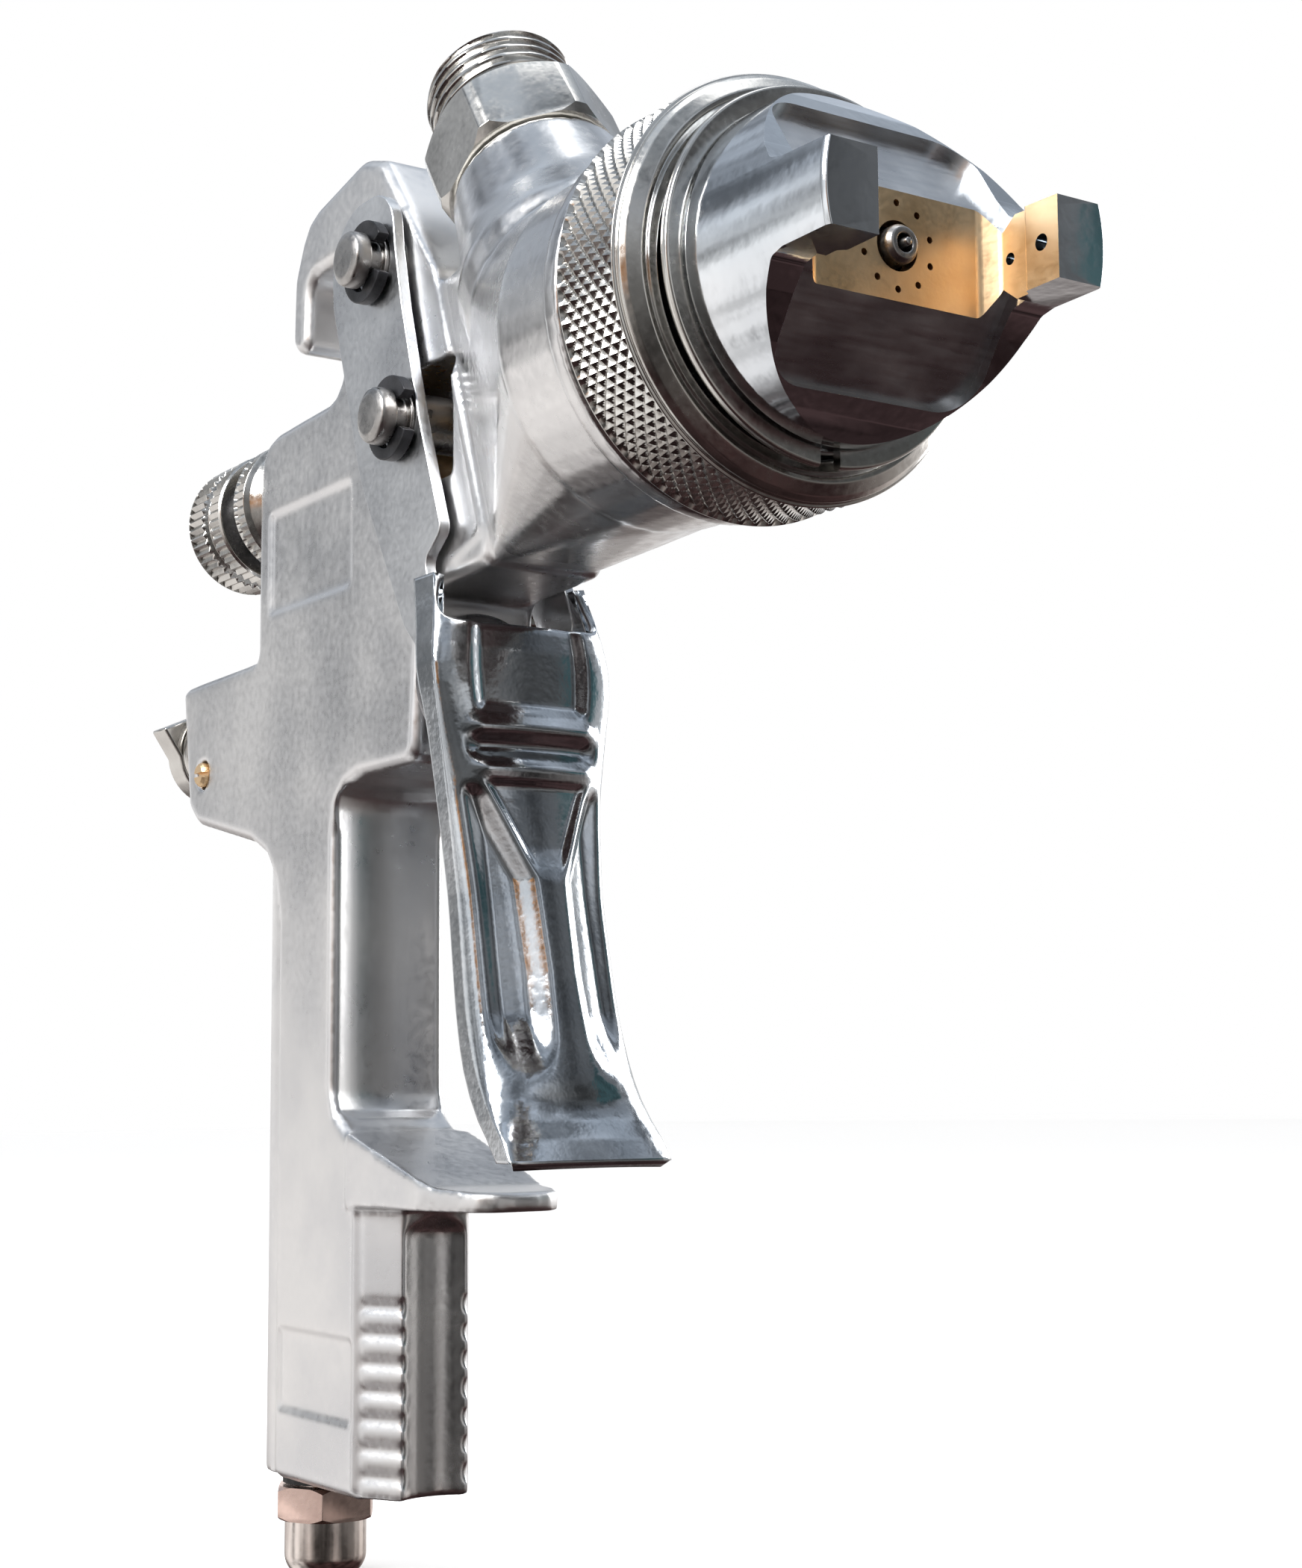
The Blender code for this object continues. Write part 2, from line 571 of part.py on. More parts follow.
def build_air_valve():
    """The air valve that the trigger opens, and the flow control behind it."""
    line = (0, 0, VALVE_Z)
    nut = [(4.8, -45.0), (6.2, -45.9), (6.8, -46.4), (6.8, -47.6), (5.0, -47.6), (5.0, -56.0), (2.2, -56.0),
           (2.2, -45.0)]
    turned("air_valve_nut", nut, "spring_steel", line)
    seal = [(4.9, -56.3), (4.9, -58.0), (2.2, -58.0), (2.2, -56.3)]
    turned("air_valve_stem_seal", seal, "rubber", line, steps=COARSE)
    seat = [(5.0, -62.3), (5.0, -65.0), (2.9, -65.0), (2.9, -62.3)]
    turned("air_valve_seat", seat, "brass", line, steps=COARSE)
    stem = [(0, -38.4), (1.5, -38.4), (1.9, -38.9), (1.9, -65.0), (0, -65.0)]
    turned("air_valve_stem", stem, "steel", line, steps=SMALL)
    plug = [(0, -65.3), (4.2, -65.3), (4.2, -67.6), (0, -67.6)]
    turned("air_valve_plug", plug, "rubber", line, steps=COARSE)
    coil("air_valve_spring", 3.2, 0.4, 6, -80.3, -67.9, line)
    valve = [(0, -80.6), (2.4, -80.6), (2.4, -92.3), (5.3, -92.3), (5.3, -112.4), (6.2, -112.4),
             (6.2, -113.7), (3.0, -113.7), (3.0, -118.3), (0, -118.3)]
    turned("air_flow_valve", valve, "nickel", line, steps=MEDIUM)
    tip = (8.7, 2.9, 0.3)
    disc = [(6.4 * math.cos(turn), 6.4 * math.sin(turn), 0)
            for turn in (math.radians(50 + 16 * step) for step in range(20))]
    facing_back = Matrix(((0, 0, -1), (-1, 0, 0), (0, 1, 0)))
    knob = part("air_flow_knob", outline_mesh("air_flow_knob", [tip] + disc, 2.1), "nickel",
                (-116.2, 0, VALVE_Z), facing_back)
    cut(knob, rod("flow_knob_bore", 3.3, -125.0, -110.0, line))
    shank = [(0, 7.9), (1.2, 7.9), (1.5, 7.6), (1.5, 5.0), (0, 5.0)]
    screw = turned("air_flow_set_screw", shank, "brass", SET_SCREW, along((0, -1, 0)), COARSE)
    slot_low = SET_SCREW + Vector((-2.0, -9.0, -0.25))
    slot_high = SET_SCREW + Vector((2.0, -7.1, 0.25))
    cut(screw, block("screw_slot", slot_low, slot_high))


def ear_outline():
    """Side view of one trigger ear, from its round top down to where it meets the finger piece."""
    return [
        (-50.6, 20.0, 4.0), (-51.6, 27.2, 5.0), (-66.0, 27.2, 7.0), (-65.6, 17.0, 6.0), (-58.5, -5.0, 20.0),
        (-50.6, -24.0, 2.0), (-46.0, -26.5, 1.0), (-41.9, -20.0, 1.5), (-43.6, -16.4, 1.5),
        (-40.0, -13.6, 1.5), (-44.8, -1.0, 30.0), (-49.0, 13.0, 20.0),
    ]


def between(stations, height):
    """Read a value at a height from a list of (height, value) stations, top first."""
    for (upper, first), (lower, second) in zip(stations, stations[1:]):
        if height >= lower:
            share = min(1.0, max(0.0, (upper - height) / (upper - lower)))
            return first + (second - first) * share
    return stations[-1][1]


def finger_channel_mesh():
    """Loft of the trigger's finger piece: an open channel whose front bulges towards the spray head."""
    half_width = [(-18.0, 9.2), (-22.0, 10.0), (-28.0, 11.0), (-34.0, 10.2), (-42.0, 9.2), (-52.0, 8.6),
                  (-64.0, 8.9), (-73.0, 9.2), (TRIGGER_FOOT, 9.5)]
    side_front = [(-18.0, -41.6), (-24.0, -39.6), (-30.0, -38.6), (-42.0, -38.6), (-52.0, -37.6),
                  (-64.0, -35.4), (-69.0, -33.6), (-73.0, -31.2), (TRIGGER_FOOT, -25.0)]
    crest = [(-18.0, -39.6), (-24.0, -36.7), (-34.0, -36.0), (-42.0, -34.8), (-52.0, -32.6),
             (-62.0, -30.2), (-70.0, -28.0), (-75.0, -26.4), (TRIGGER_FOOT, -23.8)]
    side_rear = [(-18.0, -51.0), (-24.0, -49.0), (-34.0, -45.0), (-42.0, -43.8), (-52.0, -41.4),
                 (-64.0, -38.4), (-70.0, -35.6), (-75.0, -31.0), (TRIGGER_FOOT, -26.0)]
    rows = 15
    across = 8
    mesh = bpy.data.meshes.new("trigger")
    shape = bmesh.new()
    grid = []
    for row in range(rows + 1):
        line = []
        level = row / rows
        for column in range(-across - 2, across + 3):
            share = max(-1.0, min(1.0, column / across))
            top = -18.0 - 5.4 * (1.0 - share ** 8)
            height = top + (TRIGGER_FOOT - top) * level
            width = between(half_width, height)
            front = between(side_front, height)
            if abs(column) > across:
                back = between(side_rear, height)
                x = front + (back - front) * (abs(column) - across) / 2
                y = math.copysign(width, column)
            else:
                turn = share * math.pi / 2
                x = front + (between(crest, height) - front) * math.cos(turn) ** 0.8
                y = width * math.sin(turn)
            line.append(shape.verts.new((x * MM, y * MM, height * MM)))
        grid.append(line)
    for upper, lower in zip(grid, grid[1:]):
        for column in range(len(upper) - 1):
            shape.faces.new((upper[column], lower[column], lower[column + 1], upper[column + 1]))
    bmesh.ops.recalc_face_normals(shape, faces=shape.faces)
    shape.to_mesh(mesh)
    shape.free()
    return mesh


def build_trigger():
    """The pressed steel trigger: a finger channel with an ear up each side of the body."""
    trigger = part("trigger", finger_channel_mesh(), "chrome")
    sheet = trigger.modifiers.new("sheet", "SOLIDIFY")
    sheet.thickness = SHEET * MM
    sheet.offset = -1.0
    middle = (EAR_INNER + EAR_OUTER) / 2
    half_ear = (EAR_OUTER - EAR_INNER) / 2
    for side, name in ((1, "left_ear"), (-1, "right_ear")):
        ear = tool(name, outline_mesh(name, ear_outline(), half_ear), (0, side * middle, 0), UPRIGHT)
        join(trigger, ear)
    for pin, name in ((PIVOT, "pivot_hole"), (PUSH_PIN, "push_pin_hole")):
        cut(trigger, rod(name, PIN_RADIUS + GAP, -THROUGH, THROUGH, pin, ALONG_Y))
    move_origin(trigger, PIVOT)


def move_origin(thing, point):
    """Move a piece's origin to a point of the gun's frame, leaving its shape where it is."""
    thing.data.transform(Matrix.Translation(-point * MM))
    thing.location = point * MM


def build_pins():
    """The trigger's pivot pin and its push pin, each with a black retaining clip."""
    facing_right = along((0, -1, 0))
    shank = [(0, PIN_END), (2.5, PIN_END), (PIN_RADIUS, PIN_END - 0.6), (PIN_RADIUS, 11.0), (2.3, 11.0),
             (2.3, 9.5), (PIN_RADIUS, 9.5), (PIN_RADIUS, -9.5), (4.4, -9.5), (4.4, -10.8), (0, -10.8)]
    for point, name, clip_name in ((PIVOT, "trigger_pivot_pin", "pivot_pin_clip"),
                                   (PUSH_PIN, "trigger_push_pin", "push_pin_clip")):
        pin = turned(name, shank, "steel", point, facing_right, COARSE)
        washer = [(4.3, 10.7), (4.3, 9.8), (2.6, 9.8), (2.6, 10.7)]
        clip = turned(clip_name, washer, "blackened_steel", point, facing_right, COARSE)
        gap_low = point + Vector((-6.0, -12.0, -1.2))
        gap_high = point + Vector((-1.0, -8.0, 1.2))
        cut(clip, block(clip_name + "_gap", gap_low, gap_high))
        if point is PUSH_PIN:
            hole_low = point + Vector((-8.0, -1.6, -1.9))
            hole_high = point + Vector((8.0, 1.6, 2.5))
            cut(pin, block("needle_hole", hole_low, hole_high))


def build_air_inlet():
    """The air inlet fitting under the grip, with its washer. The hose isn't part of the gun."""
    up = along((0, 0, 1))
    foot = (COLUMN_X, 0, 0)
    washer = [(5.0, -116.1), (5.0, -116.8), (4.0, -116.8), (4.0, -116.1)]
    turned("inlet_washer", washer, "rubber", foot, up, COARSE)
    flats = hexagon(10.6)
    fitting = part("air_inlet_fitting", outline_mesh("air_inlet_fitting", flats, 1.9), "copper_tint",
                   (COLUMN_X, 0, -119.0), up)
    tail = [(0, -118.0), (INLET_RADIUS, -118.0), (INLET_RADIUS, INLET_BOTTOM + 1.2),
            (INLET_RADIUS - 1.0, INLET_BOTTOM), (0, INLET_BOTTOM)]
    shank = [(0, -109.0), (3.6, -109.0), (3.6, -119.5), (0, -119.5)]
    join(fitting, turned_tool("inlet_tail", tail, foot, up),
         turned_tool("inlet_shank", shank, foot, up, COARSE))
    cut(fitting, rod("inlet_passage", 2.4, -135.0, -100.0, foot, up, COARSE))


def shade_round(piece):
    """Shade a piece smooth, keeping its sharp edges."""
    bpy.context.view_layer.objects.active = piece
    piece.select_set(True)
    for polygon in getattr(piece.data, "polygons", []):
        polygon.use_smooth = True
    if piece.type == "MESH":
        piece.data.set_sharp_from_angle(angle=math.radians(35))
    piece.select_set(False)


clear_scene()
gun = new_collection("spray_gun")
cutters = new_collection("cutters")
gun_frame = bpy.data.objects.new("gun_frame", None)
gun.objects.link(gun_frame)
gun_frame.location = -THROAT_TOP * MM
nipple_axis = Vector((-math.sin(NIPPLE_TILT), 0.0, math.cos(NIPPLE_TILT)))

build_gun_body()
build_cup_nipple()
build_spray_head()
build_needle_line()
build_fan_control()
build_air_valve()
build_trigger()
build_pins()
build_air_inlet()
for piece in gun.objects:
    shade_round(piece)
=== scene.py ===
"""Looks of the gravity feed spray gun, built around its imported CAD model.

Lengths are in millimetres in the gun's own frame: X along the barrel in the spray direction, Y to
the gun's left, Z up, with the origin on the barrel's axis at the rear edge of the knurled ring.
Meshes are made in that frame and settle() brings them to the row's frame, in metres.
"""
import json
import math

import bmesh
import bpy
import numpy as np
from mathutils import Matrix, Quaternion, Vector


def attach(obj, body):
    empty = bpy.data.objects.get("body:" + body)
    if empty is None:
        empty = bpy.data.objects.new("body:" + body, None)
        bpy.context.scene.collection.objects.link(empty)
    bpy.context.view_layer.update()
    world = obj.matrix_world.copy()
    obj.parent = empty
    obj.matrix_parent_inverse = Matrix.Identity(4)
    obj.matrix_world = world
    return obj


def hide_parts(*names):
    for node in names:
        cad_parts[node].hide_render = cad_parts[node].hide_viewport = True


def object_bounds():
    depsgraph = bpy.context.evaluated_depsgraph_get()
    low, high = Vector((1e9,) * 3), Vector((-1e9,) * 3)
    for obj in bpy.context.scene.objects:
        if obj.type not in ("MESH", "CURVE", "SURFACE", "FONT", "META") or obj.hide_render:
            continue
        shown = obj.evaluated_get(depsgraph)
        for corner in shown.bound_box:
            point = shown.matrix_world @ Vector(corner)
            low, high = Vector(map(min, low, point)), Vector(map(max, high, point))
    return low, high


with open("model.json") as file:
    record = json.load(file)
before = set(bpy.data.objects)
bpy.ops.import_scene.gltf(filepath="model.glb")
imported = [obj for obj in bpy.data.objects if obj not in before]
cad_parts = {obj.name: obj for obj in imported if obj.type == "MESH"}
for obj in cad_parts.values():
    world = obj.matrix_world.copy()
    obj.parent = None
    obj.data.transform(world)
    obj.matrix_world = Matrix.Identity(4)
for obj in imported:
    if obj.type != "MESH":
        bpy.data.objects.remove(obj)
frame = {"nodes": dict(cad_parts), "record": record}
cad_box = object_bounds()
nodes = frame["nodes"]

MM = 0.001
THROAT_TOP = Vector((-71.3, 0.0, 24.0))

# Camera
CAMERA_AT = Vector((181.64, -132.02, -70.87))
CAMERA_BEARING = 0.592
CAMERA_RISE = 0.119
CAMERA_ROLL = -0.007
CAMERA_LENS = 56.57

# Driving sizes, as in the CAD
NIPPLE_FOOT = Vector((-32.8, 0.0, 20.0))
NIPPLE_TILT = math.radians(33.0)
NIPPLE_AXIS = Vector((-math.sin(NIPPLE_TILT), 0.0, math.cos(NIPPLE_TILT)))
THREAD_RADIUS = 8.33
THREAD_PITCH = 1.34
PIVOT = Vector((-55.2, 0.0, 19.2))
PUSH_PIN = Vector((-49.1, 0.0, 0.1))
VALVE_LINE = Vector((0.0, 0.0, -28.5))
FAN_SEAT = Vector((-72.0, 0.0, -12.8))
INLET_FOOT = Vector((-83.3, 0.0, 0.0))
KNOB_RADIUS = 8.3
RING_RADIUS = 20.0
RING_FRONT = 11.3
CAP_RADIUS = 15.7
CAP_FACE = 23.8
CAP_FRONT = 33.3
CAP_AHEAD = CAP_FRONT + 4.0
SLOPE_TOP = Vector((23.9, 6.3))
SLOPE_RIM = Vector((18.2, 14.0))
SCOOP_DEPTH = 0.9
TRIGGER_FOOT = -79.0
SHEET = 1.3

# Fineness of the casting's mesh
VOXEL = 0.36

TURN = 2 * math.pi
ALONG_X = Matrix.Rotation(math.radians(90), 3, "Y")
ALONG_Y = Matrix.Rotation(math.radians(-90), 3, "X")
UPRIGHT = Matrix.Rotation(math.radians(90), 3, "X")
STRAIGHT = Matrix.Identity(3)


def along(direction):
    """Rotation that takes local +Z onto a direction."""
    return Vector(direction).to_track_quat("Z", "Y").to_matrix()


# ---------------------------------------------------------------- materials

def add_node(tree, kind, **inputs):
    """Add a shader node and set its inputs by name, with spaces written as underscores."""
    node = tree.nodes.new(kind)
    for name, value in inputs.items():
        node.inputs[name.replace("_", " ")].default_value = value
    return node


def noise(tree, coordinates, scale, detail, stretch=None):
    """Noise in the row's frame, scale in features to the metre, stretched along an axis if asked."""
    texture = add_node(tree, "ShaderNodeTexNoise", Scale=scale, Detail=detail)
    if stretch:
        mapping = add_node(tree, "ShaderNodeMapping", Scale=stretch)
        tree.links.new(coordinates, mapping.inputs["Vector"])
        coordinates = mapping.outputs["Vector"]
    tree.links.new(coordinates, texture.inputs["Vector"])
    return texture.outputs["Fac"]


def remap(tree, value, low, high, from_low, from_high):
    """Map a value from the range from_low to from_high onto low to high, clamped."""
    ranged = add_node(tree, "ShaderNodeMapRange", From_Min=from_low, From_Max=from_high,
                      To_Min=low, To_Max=high)
    tree.links.new(value, ranged.inputs["Value"])
    return ranged.outputs["Result"]


def colour_ramp(tree, value, stops):
    """Colour read at a value from (position, colour) stops, lowest first."""
    ramp = tree.nodes.new("ShaderNodeValToRGB")
    elements = ramp.color_ramp.elements
    for element, (position, colour) in zip(elements, (stops[0], stops[-1])):
        element.position = position
        element.color = (*colour, 1.0)
    for position, colour in stops[1:-1]:
        elements.new(position).color = (*colour, 1.0)
    tree.links.new(value, ramp.inputs["Fac"])
    return ramp.outputs["Color"]


def math_node(tree, operation, *values):
    """A math node on two or three values, each an output or a number."""
    node = tree.nodes.new("ShaderNodeMath")
    node.operation = operation
    for socket, value in zip(node.inputs, values):
        if isinstance(value, (int, float)):
            socket.default_value = value
        else:
            tree.links.new(value, socket)
    return node.outputs["Value"]


def metal(name, light, dark, smooth, rough, grain, relief, patches, stretch=None, metallic=1.0):
    """A metal that varies between two colours and two roughnesses, with a fine grain relief.

    grain and patches are features to the metre, and relief is the grain's height in metres.
    """
    material = bpy.data.materials.new(name)
    material.use_nodes = True
    tree = material.node_tree
    shader = tree.nodes["Principled BSDF"]
    shader.inputs["Metallic"].default_value = metallic
    coordinates = add_node(tree, "ShaderNodeTexCoord").outputs["Object"]
    patch = noise(tree, coordinates, patches, 4.0)
    fine = noise(tree, coordinates, grain, 1.5, stretch)
    low, high = 0.35, 0.65
    tree.links.new(colour_ramp(tree, patch, [(low, dark), (high, light)]), shader.inputs["Base Color"])
    mixed = math_node(tree, "MULTIPLY", math_node(tree, "ADD", patch, fine), 0.5)
    tree.links.new(remap(tree, mixed, smooth, rough, low, high), shader.inputs["Roughness"])
    bump = add_node(tree, "ShaderNodeBump", Strength=1.0, Distance=relief)
    tree.links.new(fine, bump.inputs["Height"])
    tree.links.new(bump.outputs["Normal"], shader.inputs["Normal"])
    return material


def make_looks():
    """One procedural material for each material slot of the record, and a few that share a slot."""
    settings = {
        "cast_aluminium": dict(light=(0.88, 0.87, 0.86), dark=(0.74, 0.74, 0.75),
                               smooth=0.26, rough=0.42, grain=1100.0, relief=0.000006, patches=70.0),
        "chrome": dict(light=(0.78, 0.80, 0.82), dark=(0.66, 0.69, 0.72),
                       smooth=0.06, rough=0.15, grain=700.0, relief=0.00002, patches=60.0),
        "polished_aluminium": dict(light=(0.82, 0.81, 0.80), dark=(0.66, 0.65, 0.65),
                                   smooth=0.17, rough=0.30, grain=900.0, relief=0.00002, patches=80.0),
        "satin_chrome": dict(light=(0.82, 0.83, 0.84), dark=(0.68, 0.69, 0.71),
                             smooth=0.26, rough=0.40, grain=1400.0, relief=0.00002, patches=90.0),
        # the chrome darkened for the trigger: painted shade for the darker reflections the trigger shows
        "trigger_chrome_painted_shade": dict(light=(0.68, 0.70, 0.72), dark=(0.46, 0.49, 0.52),
                               smooth=0.09, rough=0.20, grain=1500.0, relief=0.00002, patches=110.0),
        "milled_chrome": dict(light=(0.72, 0.73, 0.74), dark=(0.52, 0.53, 0.55),
                              smooth=0.26, rough=0.42, grain=1500.0, relief=0.00002, patches=160.0,
                              stretch=(1.0, 0.15, 1.0)),
        "nickel": dict(light=(0.74, 0.72, 0.68), dark=(0.60, 0.58, 0.55),
                       smooth=0.13, rough=0.28, grain=1500.0, relief=0.00001, patches=120.0),
        "steel": dict(light=(0.52, 0.50, 0.48), dark=(0.36, 0.35, 0.34),
                      smooth=0.22, rough=0.42, grain=1600.0, relief=0.00002, patches=300.0),
        "brass": dict(light=(0.95, 0.71, 0.44), dark=(0.86, 0.59, 0.33),
                      smooth=0.30, rough=0.46, grain=2200.0, relief=0.00001, patches=200.0,
                      stretch=(0.4, 1.0, 1.0)),
        "spring_steel": dict(light=(0.34, 0.34, 0.35), dark=(0.20, 0.20, 0.21),
                             smooth=0.22, rough=0.40, grain=1800.0, relief=0.00001, patches=200.0),
        # the clips' own black, and also used on the knob sleeve as painted shadow
        "blackened_steel": dict(light=(0.05, 0.05, 0.055), dark=(0.02, 0.02, 0.022),
                                smooth=0.28, rough=0.45, grain=2500.0, relief=0.00001, patches=400.0,
                                metallic=0.6),
        "copper_tint": dict(light=(0.90, 0.68, 0.60), dark=(0.74, 0.54, 0.47),
                            smooth=0.16, rough=0.30, grain=1200.0, relief=0.00001, patches=150.0),
        "tinted_nickel": dict(light=(0.82, 0.75, 0.70), dark=(0.66, 0.58, 0.54),
                              smooth=0.10, rough=0.22, grain=1200.0, relief=0.00001, patches=150.0),
        "rubber": dict(light=(0.03, 0.03, 0.03), dark=(0.015, 0.015, 0.015),
                       smooth=0.60, rough=0.80, grain=3000.0, relief=0.00002, patches=400.0,
                       metallic=0.0),
        "white_plastic": dict(light=(0.84, 0.83, 0.79), dark=(0.76, 0.75, 0.71),
                              smooth=0.40, rough=0.55, grain=2500.0, relief=0.00001, patches=300.0,
                              metallic=0.0),
    }
    return {name: metal(name + "_look", **values) for name, values in settings.items()}


# ---------------------------------------------------------------- mesh tools

def grid_mesh(name, grid, around=True, lengthwise=False):
    """Mesh of a grid of points [along][across], closed around or lengthwise as asked."""
    rows, columns = grid.shape[:2]
    index = np.arange(rows * columns).reshape(rows, columns)
    if around:
        index = np.concatenate([index, index[:, :1]], axis=1)
    if lengthwise:
        index = np.concatenate([index, index[:1]], axis=0)
    corners = np.stack([index[:-1, :-1], index[1:, :-1], index[1:, 1:], index[:-1, 1:]], axis=-1)
    mesh = bpy.data.meshes.new(name)
    mesh.from_pydata(grid.reshape(-1, 3).tolist(), [], corners.reshape(-1, 4).tolist())
    shape = bmesh.new()
    shape.from_mesh(mesh)
    bmesh.ops.remove_doubles(shape, verts=shape.verts, dist=0.0005)
    bmesh.ops.dissolve_degenerate(shape, edges=shape.edges, dist=0.0002)
    bmesh.ops.recalc_face_normals(shape, faces=shape.faces)
    shape.to_mesh(mesh)
    shape.free()
    return mesh


def eased(profile, radius, closed):
    """Round each corner of a profile with a small arc that fits beside its neighbours."""
    most = 0.45
    points = [Vector(point) for point in profile]
    made = []
    count = len(points)
    for index, here in enumerate(points):
        if not closed and index in (0, count - 1):
            made.append(here)
            continue
        before = points[index - 1] - here
        after = points[(index + 1) % count] - here
        reach = min(radius, most * before.length, most * after.length)
        start = here + before.normalized() * reach
        end = here + after.normalized() * reach
        for share in (0.0, 0.25, 0.5, 0.75, 1.0):
            made.append(start.lerp(here, share).lerp(here.lerp(end, share), share))
    return made


def split_spans(profile, closed, longest):
    """Add points so that no stretch of a profile is longer than asked."""
    made = []
    last = len(profile) if closed else len(profile) - 1
    for index in range(last):
        start = profile[index]
        end = profile[(index + 1) % len(profile)]
        steps = max(1, math.ceil((end - start).length / longest))
        made += [start.lerp(end, step / steps) for step in range(steps)]
    if not closed:
        made.append(profile[-1])
    return made


def turned(name, profile, steps=128, ease=0.15, relief=None, longest=1000.0):
    """Mesh of a profile of (radius, height) turned about Z, with its corners rounded by ease.

    relief(angle, height, radius) adds to the radius. A profile that starts and ends on the axis is
    closed by its poles, and any other by its own loop.
    """
    closed = profile[0][0] > 0
    outline = split_spans(eased(profile, ease, closed), closed, longest)
    radius = np.array([point.x for point in outline])[:, None]
    height = np.array([point.y for point in outline])[:, None]
    angle = np.arange(steps)[None, :] * TURN / steps
    if relief:
        radius = radius + relief(angle, height, radius)
    grid = np.stack([radius * np.cos(angle), radius * np.sin(angle), height + 0 * angle], axis=-1)
    return grid_mesh(name, grid, lengthwise=closed)


def rounded(corners):
    """Points of an outline whose corners are (x, y, radius), with each round corner as an arc."""
    arc_step = math.radians(9)
    points = []
    for index, (x, y, radius) in enumerate(corners):
        here = Vector((x, y))
        before = Vector(corners[index - 1][:2]) - here
        after = Vector(corners[(index + 1) % len(corners)][:2]) - here
        if radius == 0:
            points.append(here)
            continue
        half_angle = before.angle(after) / 2
        reach = radius / math.tan(half_angle)
        inward = (before.normalized() + after.normalized()).normalized()
        middle = here + inward * radius / math.sin(half_angle)
        start = here + before.normalized() * reach - middle
        sweep = start.angle_signed(here + after.normalized() * reach - middle)
        steps = max(2, round(abs(sweep) / arc_step))
        for step in range(steps + 1):
            arm = start.copy()
            arm.rotate(Matrix.Rotation(-sweep * step / steps, 2))
            points.append(middle + arm)
    return points


def slab(name, points, low, high):
    """Mesh of a flat outline in XY, from one height to another."""
    mesh = bpy.data.meshes.new(name)
    shape = bmesh.new()
    bottom = [shape.verts.new((point[0], point[1], low)) for point in points]
    face = shape.faces.new(bottom)
    lifted = bmesh.ops.extrude_face_region(shape, geom=[face])
    top = [item for item in lifted["geom"] if isinstance(item, bmesh.types.BMVert)]
    bmesh.ops.translate(shape, vec=(0, 0, high - low), verts=top)
    bmesh.ops.recalc_face_normals(shape, faces=shape.faces)
    shape.to_mesh(mesh)
    shape.free()
    return mesh


def box_mesh(name, low, high):
    """Mesh of a box, used only as a cutter."""
    corners = [(low[0], low[1]), (high[0], low[1]), (high[0], high[1]), (low[0], high[1])]
    return slab(name, corners, low[2], high[2])


def hexagon(across_flats):
    """Corners of a hexagon about the origin."""
    radius = across_flats / math.sqrt(3)
    return [(radius * math.cos(turn), radius * math.sin(turn))
            for turn in (math.radians(30 + 60 * side) for side in range(6))]


def settle(mesh, at=(0, 0, 0), turn=STRAIGHT):
    """Turn and move a mesh within the gun's frame, then bring it to the row's frame in metres."""
    mesh.transform(Matrix.Translation(Vector(at)) @ turn.to_4x4())
    mesh.transform(Matrix.Scale(MM, 4) @ Matrix.Translation(-THROAT_TOP))
    return mesh


def new_object(name, mesh):
    """Link a mesh to the scene as an object."""
    thing = bpy.data.objects.new(name, mesh)
    bpy.context.scene.collection.objects.link(thing)
    return thing


def boolean(target, mesh, operation="DIFFERENCE"):
    """Cut, join or intersect an object with a mesh, at once."""
    other = new_object(mesh.name + "_tool", mesh)
    step = target.modifiers.new("boolean", "BOOLEAN")
    step.operation = operation
    step.solver = "EXACT"
    step.object = other
    apply_modifiers(target)
    bpy.data.objects.remove(other)


def apply_modifiers(thing):
    """Replace an object's mesh with its evaluated mesh."""
    evaluated = thing.evaluated_get(bpy.context.evaluated_depsgraph_get())
    mesh = bpy.data.meshes.new_from_object(evaluated)
    thing.modifiers.clear()
    thing.data = mesh


def add_bevel(thing, width, segments, sharpest=35.0):
    """Round an object's edges that are sharper than an angle."""
    bevel = thing.modifiers.new("edges", "BEVEL")
    bevel.width = width * MM
    bevel.segments = segments
    bevel.limit_method = "ANGLE"
    bevel.angle_limit = math.radians(sharpest)


def shade(thing, angle=32.0):
    """Shade smooth but for edges sharper than an angle."""
    for polygon in thing.data.polygons:
        polygon.use_smooth = True
    thing.data.set_sharp_from_angle(angle=math.radians(angle))


def piece(name, mesh, node, slot, body, at=(0, 0, 0), turn=STRAIGHT, sharp=32.0):
    """Make a piece that stands for a CAD node, rides on its body and takes a slot's look."""
    thing = new_object(name, settle(mesh, at, turn))
    dress(thing, node, slot, body, sharp)
    return thing


def dress(thing, node, slot, body, sharp=32.0):
    """Give an object its look, its shading and its place in the frame."""
    if not thing.data.materials:
        thing.data.materials.append(looks[slot])
    shade(thing, sharp)
    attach(thing, body)
    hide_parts(node)


def triangle_wave(value):
    """0 at whole numbers and 1 halfway between them."""
    return 1.0 - np.abs(2.0 * (value - np.floor(value)) - 1.0)


def straight_knurl(teeth, depth, bands):
    """Relief of teeth along the axis on bands of height, each (low, high)."""
    def relief(angle, height, radius):
        inside = np.zeros_like(height, dtype=bool)
        for low, high in bands:
            inside |= (height > low) & (height < high) & (radius > KNOB_RADIUS - 0.2)
        return -depth * triangle_wave(angle * teeth / TURN) * inside
    return relief


# ---------------------------------------------------------------- casting

